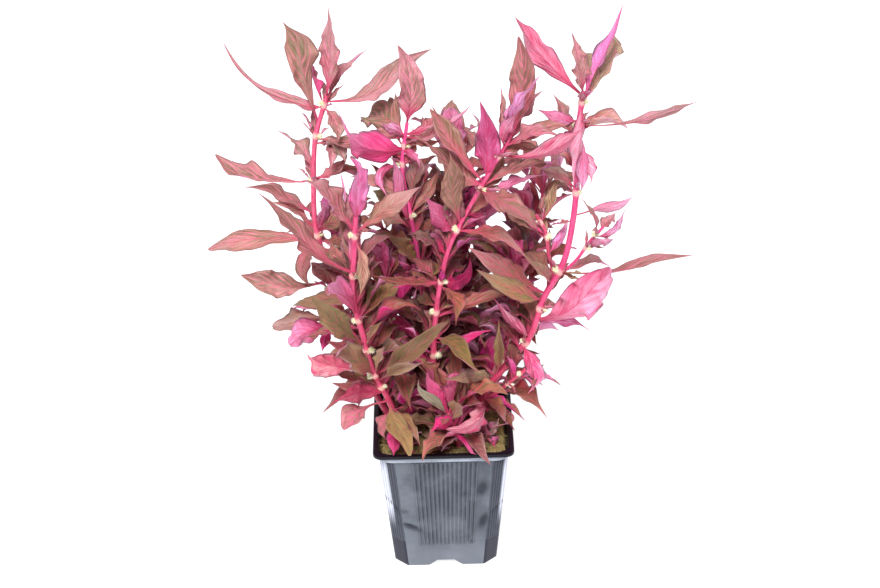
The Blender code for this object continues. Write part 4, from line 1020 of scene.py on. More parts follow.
# The leaves of the front stems. A stem's name stands before the leaves that leave it, and each leaf has a
# line: the height on the drawing where it leaves the stem, its tip across, up and in depth, how far its
# middle bows off the straight line across and up, its width, the degrees that its upper face is turned away
# from the eye, its colour, and its name, or a dash where it has no solid of its own. Lengths are in mm, and
# the leaves nearest the eye come first. Then come its habits, where they aren't left to chance: wide is its
# width against the solid's, bow how far its middle is moved, belly where along its length it is widest,
# drawn how far its end is drawn out, ragged how uneven its margins are, ripple how close its ripples lie,
# fold, twist, wave and sway how it is folded, turned and winds up and sideways, turn the degrees that its
# face is turned by and chance its own pattern. The tint that it leans to stands last, with its share.
FRONT_LEAVES = """
stem_2
37 -22,0,-88 -1,0 15 15 ochre leaf_front_yellow belly=0.5 drawn=-0.4 ragged=1.2 chance=0 straw,0.5
stem_5
36 2,17,-86 9,-4 14 165 pink leaf_front_pink wide=1.1 belly=0.4 drawn=-0.1 ragged=1 rosy,0.2
stem_2
52 3,87,-92 1,-2 20 25 olive leaf_middle_olive wide=0.8 belly=0.5 drawn=-0.3 chance=0.182 moss,0.5
69 -85,106,-94 1,-3 14 25 olive leaf_left_olive wide=1.3 belly=0.6 drawn=-0.3 fold=0.5 chance=0 moss,0.5
stem_4
77 27,53,-84 -2,4 20 30 olive leaf_middle_right_olive wide=0.75 belly=0.5 chance=0.364 moss,0.4
stem_2
52 -88,68,-45 -1,-3 18 165 pink leaf_low_left_pink wide=1.15 belly=0.6 drawn=0.2 ragged=1 shell,0.2
36 -65,18,-50 -2,4 20 30 rose leaf_low_left_dusty belly=0.72 drawn=-0.5 ragged=1.2 dusty,0.4
stem_5
47 38,89,-50 2,0 9 20 ochre leaf_right_low_tan
stem_2
119 -118,175,-50 2,-8 20 30 copper leaf_left_long wide=0.9 belly=0.56 drawn=0.3 ragged=1.6 fold=0.5 earth,0.3
90 -73,113,-86 0,3 18 165 magenta leaf_left_pink wide=1.15 belly=0.5 drawn=-0.2 rosy,0.35
147 -57,196,-45 3,-1 12 170 pink leaf_left_spire wide=1.5 belly=0.4 drawn=-0.6 ragged=1 fold=0.8 \
    chance=0.31 beet,0.5
145 -89,182,-55 3,2 17 30 copper leaf_left_orange wide=1.1 belly=0.5 drawn=0 fold=0.4 earth,0.35
144 -11,176,-25 -1,1 18 30 olive leaf_middle_left_broad wide=0.85 belly=0.5 drawn=0.2 earth,0.55
stem_4
148 8,199,-45 -1,0 18 20 olive leaf_middle_upright belly=0.5 earth,0.6
172 65,146,-76 -3,5 17 25 copper leaf_middle_right_brown belly=0.5 earth,0.5
146 57,128,-50 0,5 15 30 copper leaf_middle_right_rust belly=0.5 rust,0.5
stem_5
82 112,120,-66 3,-5 22 168 pink leaf_right_pink_large wide=1.15 belly=0.48 drawn=-0.3 shell,0.3
72 56,39,-45 5,0 14 165 pink leaf_right_low_pink
103 19,136,-20 2,-3 20 25 copper leaf_middle_right_broad belly=0.5 earth,0.45
116 167,127,-62 0,-3 13 40 rose leaf_far_right_lower wide=0.85 belly=0.6 drawn=0.2 ragged=1 haze,0.2
213 172,228,-62 3,-4 9 40 lilac leaf_far_right_upper belly=0.62 drawn=0.3 dusty,0.3
225 94,171,-32 4,0 12 165 pink leaf_right_pink_hanging wide=1.35 bow=-3,0 belly=0.55 drawn=0 ragged=1.2 \
    crimson,0.35
231 53,286,-5 -4,3 20 168 pink leaf_top_right_pink wide=0.9 bow=-1,-1 belly=0.46 drawn=0.1 ragged=1.4 \
    fold=0.5 chance=0.31 rosy,0.5
233 90,275,-25 1,0 16 25 copper leaf_top_right wide=0.85 belly=0.4 drawn=0 ragged=0.3 fold=0.6 twist=0 \
    wave=0 sway=0 shell,0.35
stem_4
193 96,212,-50 1,-7 20 165 pink leaf_right_pink_broad wide=0.8 belly=0.58 drawn=0.1 ragged=1.4 fold=0.8 \
    crimson,0.45
204 55,273,-25 3,0 18 20 copper leaf_top_right_broad wide=1.15 bow=3,0 belly=0.5 drawn=-0.2 ragged=0.5 \
    sway=0 wave=0 rosy,0.3
177 29,231,-15 3,-3 14 165 magenta leaf_top_middle_magenta wide=1.35 belly=0.4 drawn=0 ragged=0.5 fold=0.4 \
    chance=0.31 wine,0.65
177 -16,211,5 5,-8 24 20 copper leaf_middle_broad wide=0.75 belly=0.45 drawn=0 chance=0.31 earth,0.5
113 20,129,-5 3,-7 18 165 plum leaf_middle_wine chance=0.31 wine,0.8
stem_3
199 -67,231,-20 8,-8 22 172 magenta leaf_middle_left_magenta bow=-12,-4 belly=0.32 drawn=0.8 ragged=0.9 \
    fold=0.6 hot,0.6
211 -24,269,10 8,3 16 25 rose leaf_top_middle wide=1.25 bow=-3,0 belly=0.34 drawn=-0.15 ragged=0.6 sway=0 \
    fold=0.3 chance=0.55 shell,0.45
209 26,238,10 4,-8 10 130 magenta leaf_top_middle_thin belly=0.3 drawn=1.2 fold=0.8 dusty,0.4
121 -37,148,2 3,-1 15 30 olive leaf_middle_left_olive belly=0.5 moss,0.5
stem_1
111 -130,121,5 0,-5 18 30 rose leaf_far_left_lower wide=1.1 belly=0.6 drawn=-0.1 ragged=1.4 fold=0.5 haze,0.35
142 -151,138,70 0,5 20 35 rose leaf_far_left_middle wide=0.75 belly=0.5 drawn=-0.4 ragged=2.2 fold=0.4 \
    sway=0 turn=-20 chance=0.59 earth,0.3
87 -99,74,0 0,4 14 165 magenta leaf_low_left_rose wide=1.3 belly=0.6 drawn=-0.5 ragged=1.1 crimson,0.5
181 -145,200,60 1,-4 20 30 rose leaf_far_left_upper wide=0.9 bow=2,-4 belly=0.66 drawn=-0.2 ragged=2.2 \
    fold=0.5 sway=0.04 crimson,0.2
234 -69,297,22 2,0 13 20 rose leaf_top_left wide=1.05 belly=0.4 drawn=0.5 ragged=0.3 fold=0.2 twist=0.1 \
    sway=0 wave=0 clay,0.5
214 -100,287,10 3,0 22 25 copper leaf_upper_left_broad wide=0.95 belly=0.62 drawn=0.6 ragged=1.1 fold=0.15 \
    moss,0.3
229 -138,273,30 5,-9 10 40 rose leaf_upper_left_long bow=-2,-5 belly=0.36 drawn=-0.15 ragged=1.4 fold=0.5 \
    sway=0.05 mallow,0.5
231 -2,266,40 1,-7 14 35 copper leaf_upper_left_wavy wide=1.1 belly=0.52 drawn=0 sway=0.08 ragged=1.3 \
    fold=0.3 ash,0.55
234 -85,268,40 -1,0 11 100 magenta - hot,0.5
234 -44,267,50 -1,3 10 40 copper - wide=0.9 dusty,0.3
229 -65,206,5 3,2 9 30 copper - wide=1.5 belly=0.5 ragged=0.5 dusty,0.3
190 -104,215,40 3,1 11 40 copper - wide=1.35 belly=0.5 drawn=0 ragged=0.3 fold=0.3 sway=0 wave=0 haze,0.35
181 -39,178,55 1,7 17 30 copper - earth,0.4
150 -83,168,36 -2,0 10 60 copper -
150 -79,169,5 5,0 10 160 plum -
148 -54,155,40 0,3 17 30 copper - moss,0.35
142 -53,135,10 0,2 12 40 copper - earth,0.4
142 -85,113,0 -7,0 11 20 copper - dusty,0.4
139 -58,117,0 2,1 12 30 olive -
103 -98,98,20 0,0 7 150 magenta -
89 -110,86,30 0,3 13 40 olive - wide=1.2 belly=0.6 drawn=-0.5 haze,0.7
89 -78,69,-5 -3,0 8 150 magenta -
stem_2
147 -63,187,-30 -2,-4 12 30 pink -
143 -53,104,-70 4,0 9 30 ochre -
119 -71,142,-12 0,0 14 40 copper -
90 -23,114,-5 0,3 17 40 olive - moss,0.4
69 -23,86,0 0,0 15 40 olive -
54 -69,66,-98 0,4 13 30 olive - wide=1.3 belly=0.5 drawn=-0.3 moss,0.5
50 -12,61,-104 0,2 11 30 ochre - moss,0.4
53 -37,72,-55 -1,0 9 50 ochre -
73 -37,89,-52 -2,0 9 40 ochre -
46 -72,49,-30 0,-3 13 30 copper -
42 -73,35,-60 0,3 14 160 rose - crimson,0.5
32 -15,6,-55 3,0 9 30 ochre -
30 -38,11,-46 -3,0 11 40 rose -
24 -33,0,-52 0,0 9 165 magenta - wide=1.2 hot,0.6
stem_3
207 -49,219,45 0,9 23 30 copper - wide=1.3 belly=0.5 drawn=-0.2 fold=0.4 ragged=0.2 sway=0 chance=0.31 \
    moss,0.45
209 -36,219,0 0,0 8 150 pink -
190 -30,166,-12 -10,7 9 165 magenta -
200 -11,188,-8 0,3 8 160 magenta -
159 2,188,30 0,-3 12 30 copper -
158 -43,174,40 0,3 17 40 olive -
117 -27,128,-12 0,0 7 160 magenta -
115 -1,130,35 0,0 7 150 rose -
85 -15,110,-8 -7,0 9 100 pink -
87 -42,102,40 0,0 17 40 copper -
72 -42,96,-8 0,2 12 165 magenta -
53 19,81,40 0,0 17 40 olive -
stem_4
204 70,248,-5 -5,0 12 120 magenta - wide=1.1 shell,0.3
205 70,237,15 -3,0 13 40 copper - wide=1.2 crimson,0.3
202 82,206,-35 0,4 14 30 copper - wide=1.1 crimson,0.45
195 23,224,15 -1,0 12 40 copper - haze,0.5
175 80,187,-15 -1,5 13 30 copper - wide=1.1 rust,0.3
174 72,182,0 0,-2 11 110 pink - shell,0.3
146 -9,170,-15 1,-3 15 165 plum - wine,0.5
157 29,141,-10 4,4 11 165 plum - wine,0.7
113 -45,119,-50 0,-3 10 40 copper - wide=1.1 earth,0.5
111 10,84,-60 4,4 14 25 copper - earth,0.5
94 -20,99,15 0,3 10 40 ochre -
92 30,100,5 0,4 15 40 copper -
75 34,81,-50 -1,-3 7 165 magenta -
61 -27,76,-5 0,0 14 160 plum -
stem_12
38 -10,55,-50 -1,0 12 165 magenta - wide=1.1 crimson,0.6
32 -15,50,-84 -2,0 7 30 sage - wide=0.9 chance=0 reed,0.7
30 14,31,-98 0,2 12 40 olive - moss,0.4
20 -10,12,-58 4,5 9 160 magenta - wide=1.2 hot,0.6
16 22,0,-62 -1,0 6 150 magenta - hot,0.5
stem_5
233 124,292,10 -1,-4 12 120 magenta - wide=0.85 belly=0.42 drawn=-0.1 fold=0.7 chance=0.31 mauve,0.5
230 117,273,35 3,-1 19 35 olive - wide=1.6 belly=0.62 drawn=-0.4 fold=0.3 ragged=0.8 chance=0.364 straw,0.45
211 125,211,-30 0,4 12 35 copper - wide=1.8 belly=0.45 drawn=-0.2 ragged=0.3 ripple=0.5 straw,0.6
212 80,183,10 -3,3 13 160 pink -
155 127,166,5 0,-1 9 160 pink - wide=1.2 belly=0.62 drawn=-0.3 shell,0.4
152 72,148,-8 0,0 5 60 lilac -
170 77,174,15 0,0 7 60 lilac -
119 112,121,25 0,3 11 35 rose -
111 53,133,-45 3,-3 10 30 ochre -
100 24,121,-50 2,-3 14 30 olive - moss,0.5
86 98,79,-25 0,4 10 160 rose -
77 34,103,-45 0,-3 12 160 rose -
73 42,85,-5 0,0 13 160 plum -
47 0,50,-94 0,3 11 30 ochre -
46 21,56,-52 0,0 9 40 ochre - straw,0.3
41 43,19,-50 2,1 11 25 copper - rust,0.4
34 47,15,-42 1,3 9 30 plum -
38 54,21,-30 0,3 11 100 magenta -
shoot_right
143 94,167,-20 2,0 7 40 plum -
141 123,160,-35 5,-5 8 150 lilac -
144 116,156,-20 0,0 9 35 copper -
136 114,139,-40 0,-1 7 150 lilac -
shoot_left
142 46,174,-25 -3,-2 8 160 pink -
140 40,164,-5 0,3 17 30 olive -
151 80,180,-5 2,0 12 30 ochre -
130 85,153,5 2,0 10 160 pink -
shoot_low
52 62,66,-15 2,-2 9 160 pink -
50 43,64,-30 0,0 8 150 magenta -
"""
# Leaves that only the eye needs, in the same way.
ADDED_LEAVES = """
stem_1
209 -60,193,15 4,4 13 30 olive - haze,0.4
183 -58,200,35 3,-4 12 35 copper - dusty,0.4
stem_3
209 -55,212,20 0,-1 9 30 rose - rosy,0.3
170 -58,184,10 0,2 13 30 copper - dusty,0.4
211 -3,229,25 9,-3 14 30 copper - crimson,0.4
209 12,222,0 2,-5 12 35 rose - dusty,0.5
204 4,207,-8 0,-1 8 30 ochre - rosy,0.4
stem_2
122 -58,178,-58 0,0 12 165 pink - shell,0.2
stem_4
204 86,214,-20 0,3 10 30 rose - crimson,0.4
196 72,199,-10 0,2 13 30 olive - earth,0.4
206 43,240,0 -2,0 10 30 copper - crimson,0.3
207 88,228,5 3,-4 9 30 copper - dusty,0.3
stem_5
214 66,225,-20 2,-3 10 150 pink - rosy,0.3
172 66,185,-5 0,3 12 30 olive - haze,0.4
227 89,174,-42 1,0 12 165 pink - dusty,0.35
37 31,18,-48 17,-3 3 60 pink - fold=0.2
stem_1
205 -70,189,5 5,6 14 30 copper - earth,0.4
stem_3
150 -50,158,10 0,3 15 30 olive - haze,0.3
138 -45,140,15 0,4 14 30 copper - earth,0.3
stem_5
200 100,175,-40 3,0 10 165 pink - shell,0.3
stem_4
204 69,247,-45 -5,0 9 150 lilac - wide=1.3 drawn=-0.3 mauve,0.6
200 52,222,-30 -2,2 8 150 pink - crimson,0.3
170 44,195,-20 3,0 12 30 olive - earth,0.3
130 -8,146,10 -2,3 14 165 plum - crimson,0.2
120 -10,112,5 0,4 14 30 olive - moss,0.3
stem_3
145 -30,196,0 -2,2 10 160 magenta - crimson,0.3
stem_4
150 40,176,-10 2,3 12 30 copper - earth,0.4
stem_1
150 -108,168,20 0,5 10 40 copper - dusty,0.4
111 -84,128,-12 0,3 12 40 copper - haze,0.3
stem_2
73 -78,84,-60 0,3 9 150 magenta - crimson,0.3
60 -75,76,-50 0,3 10 30 copper - rosy,0.3
stem_3
196 -74,208,25 0,3 14 30 copper - earth,0.3
188 -36,205,20 0,2 13 30 copper - moss,0.3
190 -15,215,25 3,0 13 30 copper - earth,0.3
stem_4
190 18,215,12 0,0 13 30 copper - earth,0.3
stem_5
205 76,236,0 0,-3 11 30 copper - earth,0.3
185 70,198,0 0,3 12 30 copper - moss,0.3
205 84,192,-10 2,3 12 150 pink - crimson,0.3
stem_2
100 -97,100,0 0,4 14 30 olive - moss,0.3
84 -92,78,10 0,3 13 30 copper - rosy,0.3
stem_4
90 62,106,10 0,3 13 30 copper - moss,0.3
stem_2
45 -78,52,0 0,3 12 30 copper - crimson,0.3
stem_1
160 -128,178,20 0,4 12 40 copper - dusty,0.3
stem_4
141 52,168,15 2,5 14 160 plum - wine,0.3
stem_3
165 -44,192,15 0,2 13 30 copper - earth,0.3
stem_5
118 48,132,8 0,3 13 30 olive - earth,0.3
100 86,124,12 0,3 12 30 copper - crimson,0.3
stem_4
178 -4,227,-8 -5,3 20 30 copper - ragged=0.5 earth,0.6
"""


@dataclass
class Leaf:
    """One leaf: its root, the middle and tip of its midrib, its width and the way its face looks."""

    stem: object
    root: Vector
    middle: Vector
    tip: Vector
    width: float
    face: Vector
    tone: str
    name: str = ""
    habit: dict = field(default_factory=dict)

    def midrib(self, t):
        """A point on the midrib, a parabola through the root, the middle and the tip."""
        control = self.middle * 2 - (self.root + self.tip) / 2
        return self.root * (1 - t) ** 2 + control * 2 * t * (1 - t) + self.tip * t ** 2

    def solid(self, stations, grow=0.0, start=0.0):
        """Corners and faces of the blade: flat above, with the keel of its midrib below."""
        first, last = self.midrib(start), self.midrib(1)
        corners = [first]
        for t, share in stations:
            if t <= start:
                continue
            middle = self.midrib(t)
            along = (self.midrib(min(1, t + 0.05)) - self.midrib(t - 0.05)).normalized()
            side = along.cross(self.face).normalized()
            up = side.cross(along)
            half = self.width * share / 2 + grow
            top = up * (LEAF_KEEL / 3 + grow)
            corners += [middle - side * half + top, middle + side * half + top,
                        middle - up * (LEAF_KEEL + grow)]
        corners.append(last)
        rows = (len(corners) - 2) // 3
        faces = [(0, 1 + k, 1 + (k + 1) % 3) for k in range(3)]
        for row in range(rows - 1):
            a, b = 1 + 3 * row, 4 + 3 * row
            faces += [(a + k, b + k, b + (k + 1) % 3, a + (k + 1) % 3) for k in range(3)]
        tip = len(corners) - 1
        faces += [(tip - 3 + (k + 1) % 3, tip - 3 + k, tip) for k in range(3)]
        return corners, faces


# Where the cross sections of a leaf stand along its midrib, and each one's share of the full width.
OWN_STATIONS = [(0.14, 0.3), (0.44, 1.0), (0.76, 0.72)]
FUSED_STATIONS = [(0.34, 0.96), (0.72, 0.8)]
OUTER_START = 0.16


def box_of(corners):
    """The low and the high corner of the box round some points."""
    return [[end(corner[i] for corner in corners) for i in range(3)] for end in (min, max)]


class Thicket:
    """The solids already in place, against which each new leaf is tried."""

    def __init__(self):
        self.solids = []

    def add(self, owner, corners, faces):
        self.solids.append((owner, *box_of(corners), BVHTree.FromPolygons(corners, faces)))

    def hits(self, corners, faces, skip=()):
        low, high = box_of(corners)
        tree = None
        for owner, other_low, other_high, other in self.solids:
            if owner in skip or any(low[i] > other_high[i] or high[i] < other_low[i] for i in range(3)):
                continue
            tree = tree or BVHTree.FromPolygons(corners, faces)
            if tree.overlap(other):
                return True
        return False

    def takes(self, leaf):
        """Keep a leaf if it stands clear, but for where it joins its own stem."""
        stations = OWN_STATIONS if leaf.name else FUSED_STATIONS
        fused = leaf.stem.name + " leaves"
        joins = () if leaf.name else (leaf.stem.name, fused)
        outer_part = leaf.solid(stations, GAP, OUTER_START)
        if self.hits(*outer_part) or self.hits(*leaf.solid(stations, GAP), skip=joins):
            return False
        self.add(leaf.name or fused, *leaf.solid(stations))
        return True


def facing(chord, turned):
    """The way a leaf's upper face looks: at the eye, then turned about the chord towards the sky."""
    along = chord.normalized()
    front = squared(-SIGHT, along)
    side = along.cross(front)
    if side.z < 0:
        side = -side
    angle = math.radians(turned)
    return front * math.cos(angle) + side * math.sin(angle)


def numbers(text):
    """The numbers of a word such as 3,-1."""
    return [float(number) for number in text.split(",")]


def drawn_leaf(stem, line, slide, swing, turn, shorten):
    """A leaf from its line, with its tip slid along the line of sight and its root along the stem."""
    height, tip, bow, width, turned, tone, name, *habit = line.split()
    point, direction, radius = stem.at_height(float(height) + swing)
    across, up, depth = numbers(tip)
    end = point.lerp(from_drawing(across, up, depth + slide), shorten)
    out = (end - point).normalized()
    name = name.strip("-")
    if name:
        slant = (out - direction * out.dot(direction)).length
        root = point + out * (radius + 2 * GAP) / max(0.3, slant)
    else:
        root = point - out * radius * ROOT_SINK
    across, up = numbers(bow)
    middle = (root + end) / 2 + (DRAWING_RIGHT * across + DRAWING_UP * up) * MM
    face = facing(end - root, float(turned) + turn)
    habit = dict(word.split("=") if "=" in word else ("tint", word) for word in habit)
    return Leaf(stem, root, middle, end, float(width) * MM, face, tone, name, habit)


# The ways a leaf of the drawing gives way when it meets another: by sliding its tip along the line of
# sight (mm), moving its root along the stem (mm), turning its face (degrees) and growing shorter.
GIVE_WAY = sorted(
    ((slide, swing, turn, shorten)
     for slide in (0, -7, 7, -14, 14, -22, 22, -30, 30, -40, 40, 52, 64)
     for swing in (0, 3, -3)
     for turn in (0, 25, -25)
     for shorten in (1.0, 0.86)),
    key=lambda give: abs(give[0]) + 4 * abs(give[1]) + abs(give[2]) / 2 + 220 * (1 - give[3]))


def place_drawn_leaves(stems, thicket, table):
    """Put each leaf of a table in the first of its ways of giving way that stands clear."""
    for line in table.strip().splitlines():
        if line in stems:
            stem = stems[line]
            continue
        tries = (drawn_leaf(stem, line, *give) for give in GIVE_WAY)
        stem.leaves.append(next(leaf for leaf in tries if thicket.takes(leaf)))


def risen(around, rise):
    """The direction that rises from the level at an angle round the plant, and the one square above it."""
    flat = compass(around)
    out = flat * math.cos(rise) + SKYWARD * math.sin(rise)
    return out, (SKYWARD * math.cos(rise) - flat * math.sin(rise)).normalized()


def ruled_leaf(stem, length, around, rise, long, wide, tone):
    """A leaf that leaves its stem at an angle round it, rises and then arches over under its weight."""
    point, direction, radius = stem.at_length(length)
    out, face = risen(around, rise)
    tip = point + out * long
    droop = SKYWARD * long * LEAF_DROOP
    root = point - out * radius * ROOT_SINK
    return Leaf(stem, root, (point + tip) / 2 + droop, tip - droop, wide, face, tone)


# The ways a leaf of the back stems gives way: turning round its stem and lifting (both in radians), and
# growing smaller.
YIELDS = [(turn, lift, size) for size in (1.0, 0.8, 0.62)
          for turn in (0, 0.3, -0.3, 0.6, -0.6) for lift in (0, 0.3, -0.3, 0.6)]


def giving_way(stem, length, around, rise, long, wide, tone, ways=None):
    """A leaf by the rule, and then what it becomes in each of its ways of giving way."""
    for turn, lift, size in YIELDS[:ways]:
        yield ruled_leaf(stem, length, around + turn, rise + lift, long * size, wide * size, tone)


def between(ends, share, chance=1.0):
    """A value this share of the way between two, times a chance factor."""
    return (ends[0] + (ends[1] - ends[0]) * share) * chance


def grow_pairs(stem, thicket, first_angle, chance):
    """Crosswise pairs of leaves up a stem, longer and flatter low down, and a tuft at its tip."""
    reach = stem.length() / MM
    nodes = stem.nodes()
    for node, along in enumerate(nodes + [reach - 1]):
        tuft = node == len(nodes)
        share = along / reach
        for k in range(TIP_LEAVES if tuft else 2):
            spread = 2 * math.pi / TIP_LEAVES if tuft else math.pi
            around = math.radians(first_angle + 90 * node) + spread * k
            around += chance.uniform(-ROUND_STRAY, ROUND_STRAY)
            rise = math.radians(between(LEAF_RISES, share) + chance.uniform(-RISE_STRAY, RISE_STRAY))
            long = between(LEAF_LENGTHS, share, chance.uniform(*LENGTH_STRAY)) * MM
            wide = between(LEAF_WIDTHS, share, chance.uniform(*WIDTH_STRAY)) * MM
            tone = chance.choice(BACK_TONES)
            tries = giving_way(stem, along * MM, around, rise, long, wide, tone)
            leaf = next((leaf for leaf in tries if thicket.takes(leaf)), None)
            if leaf:
                stem.leaves.append(leaf)
        if node % 2:
            stem.heads.append(head_centre(*stem.at_length(along * MM), first_angle + 90 * node + HEAD_TURN))


def stem_tube(stem):
    """Corners and faces of a stem's solid, a bevelled curve along its route."""
    curve = bpy.data.curves.new(stem.name, "CURVE")
    curve.dimensions = "3D"
    curve.bevel_depth = 1.0
    curve.bevel_resolution = 1
    curve.use_fill_caps = True
    spline = curve.splines.new("POLY")
    spline.points.add(len(stem.points) - 1)
    for place, point, radius in zip(spline.points, stem.points, stem.radii):
        place.co = (*point, 1)
        place.radius = radius
    return shape_of(settled(add_piece(stem.name + "_route", curve)))


# The leaves that fill the inside of the plant, behind the ones that show: where along a stem they begin and
# end and how far apart they stand, how many there are in one place and how often each gives way, their
# lengths and how wide they are for their length, how far their rise may stray, the angle that the front
# stems keep free at each side, how the shade darkens them, and the space that they keep to.
INNER_FIRST = 8
INNER_END = 6
INNER_STEP = 10
INNER_LEAVES = 4
INNER_WAYS = 20
INNER_LENGTHS = (26, 44)
INNER_SHARES = (0.34, 0.44)
INNER_STRAY = 15
INNER_FREE = 0.35
INNER_LIGHT = (0.25, 0.85)
INNER_TONES = ("copper", "olive", "plum", "magenta", "copper")
INNER_ACROSS = 62 * MM
INNER_TOP = 245 * MM
INNER_AT_RIM = 30 * MM
INNER_WIDENING = 0.4


def is_inside(leaf):
    """Whether a leaf stays inside the bush, which widens upwards from the pot's rim."""
    low, high = solid_box
    return (all(low[i] < leaf.tip[i] < high[i] for i in range(3))
            and abs(leaf.root.x) < INNER_ACROSS and leaf.root.z < INNER_TOP
            and abs(leaf.tip.x) < INNER_AT_RIM + INNER_WIDENING * (leaf.tip.z - POT_HEIGHT * MM))


def grow_inside(stems, thicket, chance):
    """Leaves between the nodes, on the front stems behind them only, where there is still room."""
    for name, stem in stems.items():
        stem.inner = []
        reach = stem.length() / MM
        sweep = (INNER_FREE, math.pi - INNER_FREE) if name in FRONT_STEMS else (0, math.tau)
        for place in range(INNER_FIRST, int(reach) - INNER_END, INNER_STEP):
            for _ in range(INNER_LEAVES):
                long = chance.uniform(*INNER_LENGTHS) * MM
                wide = long * chance.uniform(*INNER_SHARES)
                around = chance.uniform(*sweep)
                stray = chance.uniform(-INNER_STRAY, INNER_STRAY)
                rise = math.radians(between(LEAF_RISES, place / reach) + stray)
                tone = chance.choice(INNER_TONES)
                tries = giving_way(stem, place * MM, around, rise, long, wide, tone, INNER_WAYS)
                leaf = next((leaf for leaf in tries if is_inside(leaf) and thicket.takes(leaf)), None)
                if leaf:
                    stem.inner.append(leaf)


def grow_plant():
    """Stems with their leaves, each leaf where it stands clear of the pot, the stems and the others."""
    stems = lay_out_stems()
    thicket = Thicket()
    for name in ("pot", "growing_medium"):
        thicket.add(name, *shape_of(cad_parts[name].data))
    for name, stem in stems.items():
        thicket.add(name, *stem_tube(stem))
        for centre in stem.heads:
            thicket.add(name, *head_ball(centre))
    place_drawn_leaves(stems, thicket, FRONT_LEAVES)
    chance = random.Random(BACK_SHUFFLE)
    for name, (_, _, first_angle) in BACK_STEMS.items():
        grow_pairs(stems[name], thicket, first_angle, chance)
    place_drawn_leaves(stems, thicket, ADDED_LEAVES)
    grow_inside(stems, thicket, random.Random(INNER_SHUFFLE))
    return stems


# The colours of each kind of leaf: its upper face, the veins there, its underside and the veins there.
LEAF_COLOURS = {
    "copper": ((0.18, 0.09, 0.042), (0.5, 0.08, 0.125), (0.4, 0.018, 0.095), (0.62, 0.11, 0.25)),
    "olive": ((0.15, 0.142, 0.045), (0.36, 0.12, 0.08), (0.35, 0.035, 0.09), (0.56, 0.15, 0.24)),
    "ochre": ((0.29, 0.23, 0.085), (0.44, 0.215, 0.105), (0.45, 0.11, 0.16), (0.62, 0.23, 0.29)),
    "sage": ((0.24, 0.235, 0.14), (0.38, 0.32, 0.23), (0.41, 0.2, 0.21), (0.53, 0.33, 0.35)),
    "rose": ((0.31, 0.15, 0.105), (0.65, 0.115, 0.19), (0.54, 0.07, 0.17), (0.72, 0.27, 0.4)),
    "magenta": ((0.195, 0.06, 0.042), (0.49, 0.06, 0.095), (0.6, 0.012, 0.15), (0.75, 0.1, 0.33)),
    "pink": ((0.26, 0.1, 0.068), (0.57, 0.12, 0.15), (0.62, 0.06, 0.19), (0.8, 0.33, 0.49)),
    "lilac": ((0.32, 0.165, 0.13), (0.61, 0.23, 0.3), (0.54, 0.14, 0.35), (0.73, 0.4, 0.6)),
    "plum": ((0.078, 0.026, 0.018), (0.28, 0.022, 0.045), (0.25, 0.004, 0.05), (0.43, 0.018, 0.12)),
}
BLADE_OUTLINE = [(0.0, 0.085), (0.08, 0.12), (0.18, 0.32), (0.32, 0.76), (0.46, 1.0), (0.6, 0.93),
                 (0.74, 0.63), (0.87, 0.28), (0.95, 0.12), (1.0, 0.02)]
BLADE_BELLY = 0.46
SIDE_VEINS = 8.0
VEIN_SLANT = 0.24
VEIN_ARCH = 0.12
MIDRIB_HALF = 0.42 * MM
# How far chance moves the colours of a leaf, towards warm or cool and in lightness.
WARMTH = 0.22
LIGHTNESS = (0.8, 1.2)
# The leaves at the sides and the top stand in full light and are paler, from one distance from the plant's
# middle to another, in which depth counts for less.
PLANT_MIDDLE = Vector((0, 0, 165 * MM))
DEPTH_COUNTS = 0.3
PALE_FROM = 60 * MM
PALE_AT = 140 * MM
PALE_SHARE = 0.42
PALE_COLOURS = ((0.53, 0.47, 0.42), (0.8, 0.36, 0.48), (0.74, 0.24, 0.4), (0.9, 0.68, 0.84))
# Low on the plant the upper faces are greener, up to one height from another.
GREEN_BELOW = 175 * MM
GREEN_AT = 115 * MM
GREEN_SHARE = 0.4
# How much of a leaf's own tint the veins of its upper face take on.
TINT_ON_VEINS = 0.35
# Where a stalk begins inside its stem, as a share of the stem's radius.
STALK_START = 0.35
# How finely each kind of blade is cut, across and along.
BLADE_GRIDS = {"blade": (15, 51), "leaves": (9, 27), "inner": (7, 19), "buds": (5, 15)}


def leaf_light(bloom):
    """What both leaf finishes share: thin tissue that lets a little light through, with a faint bloom."""
    return {"Specular IOR Level": 0.3, "Specular Tint": bloom, "Subsurface Weight": 0.2,
            "Subsurface Radius": (1.0, 0.3, 0.35), "Subsurface Scale": 1.2 * MM, "Sheen Weight": 0.08,
            "Sheen Roughness": 0.4, "Sheen Tint": bloom}


def vein_lines(sheet):
    """How near a place on a blade is to its midrib and to a side vein, each from 0 to 1."""
    half = sheet.painted("half")
    chance = sheet.painted("chance")
    across, along, _ = sheet.painted("spot", "Vector").parts()
    away = abs(across)
    side = across.step(-0.001, 0.001)
    start = along - away * VEIN_SLANT - away * away * VEIN_ARCH
    stray = sheet.speckle(sheet.arrow(start * 5.0, across * 1.5, chance * 23.0), 1.0, 2.0, 0.5)
    gap = abs((start * SIDE_VEINS + side * 0.4 + chance * 7.0 + stray * 1.6).fraction() - 0.5) * 2.0
    vein = gap.step(0.62, 0.05) * away.step(1.1, 0.5) * stray.step(0.25, 0.5)
    streak = sheet.speckle(sheet.arrow(start * 15.0, across * 1.6, chance * 41.0), 1.0, 3.0, 0.62)
    rib_half = (1.15 - along * 0.85) * MIDRIB_HALF
    rib = (away * half / rib_half).step(1.35, 0.45)
    return across, along, rib, vein, streak, chance


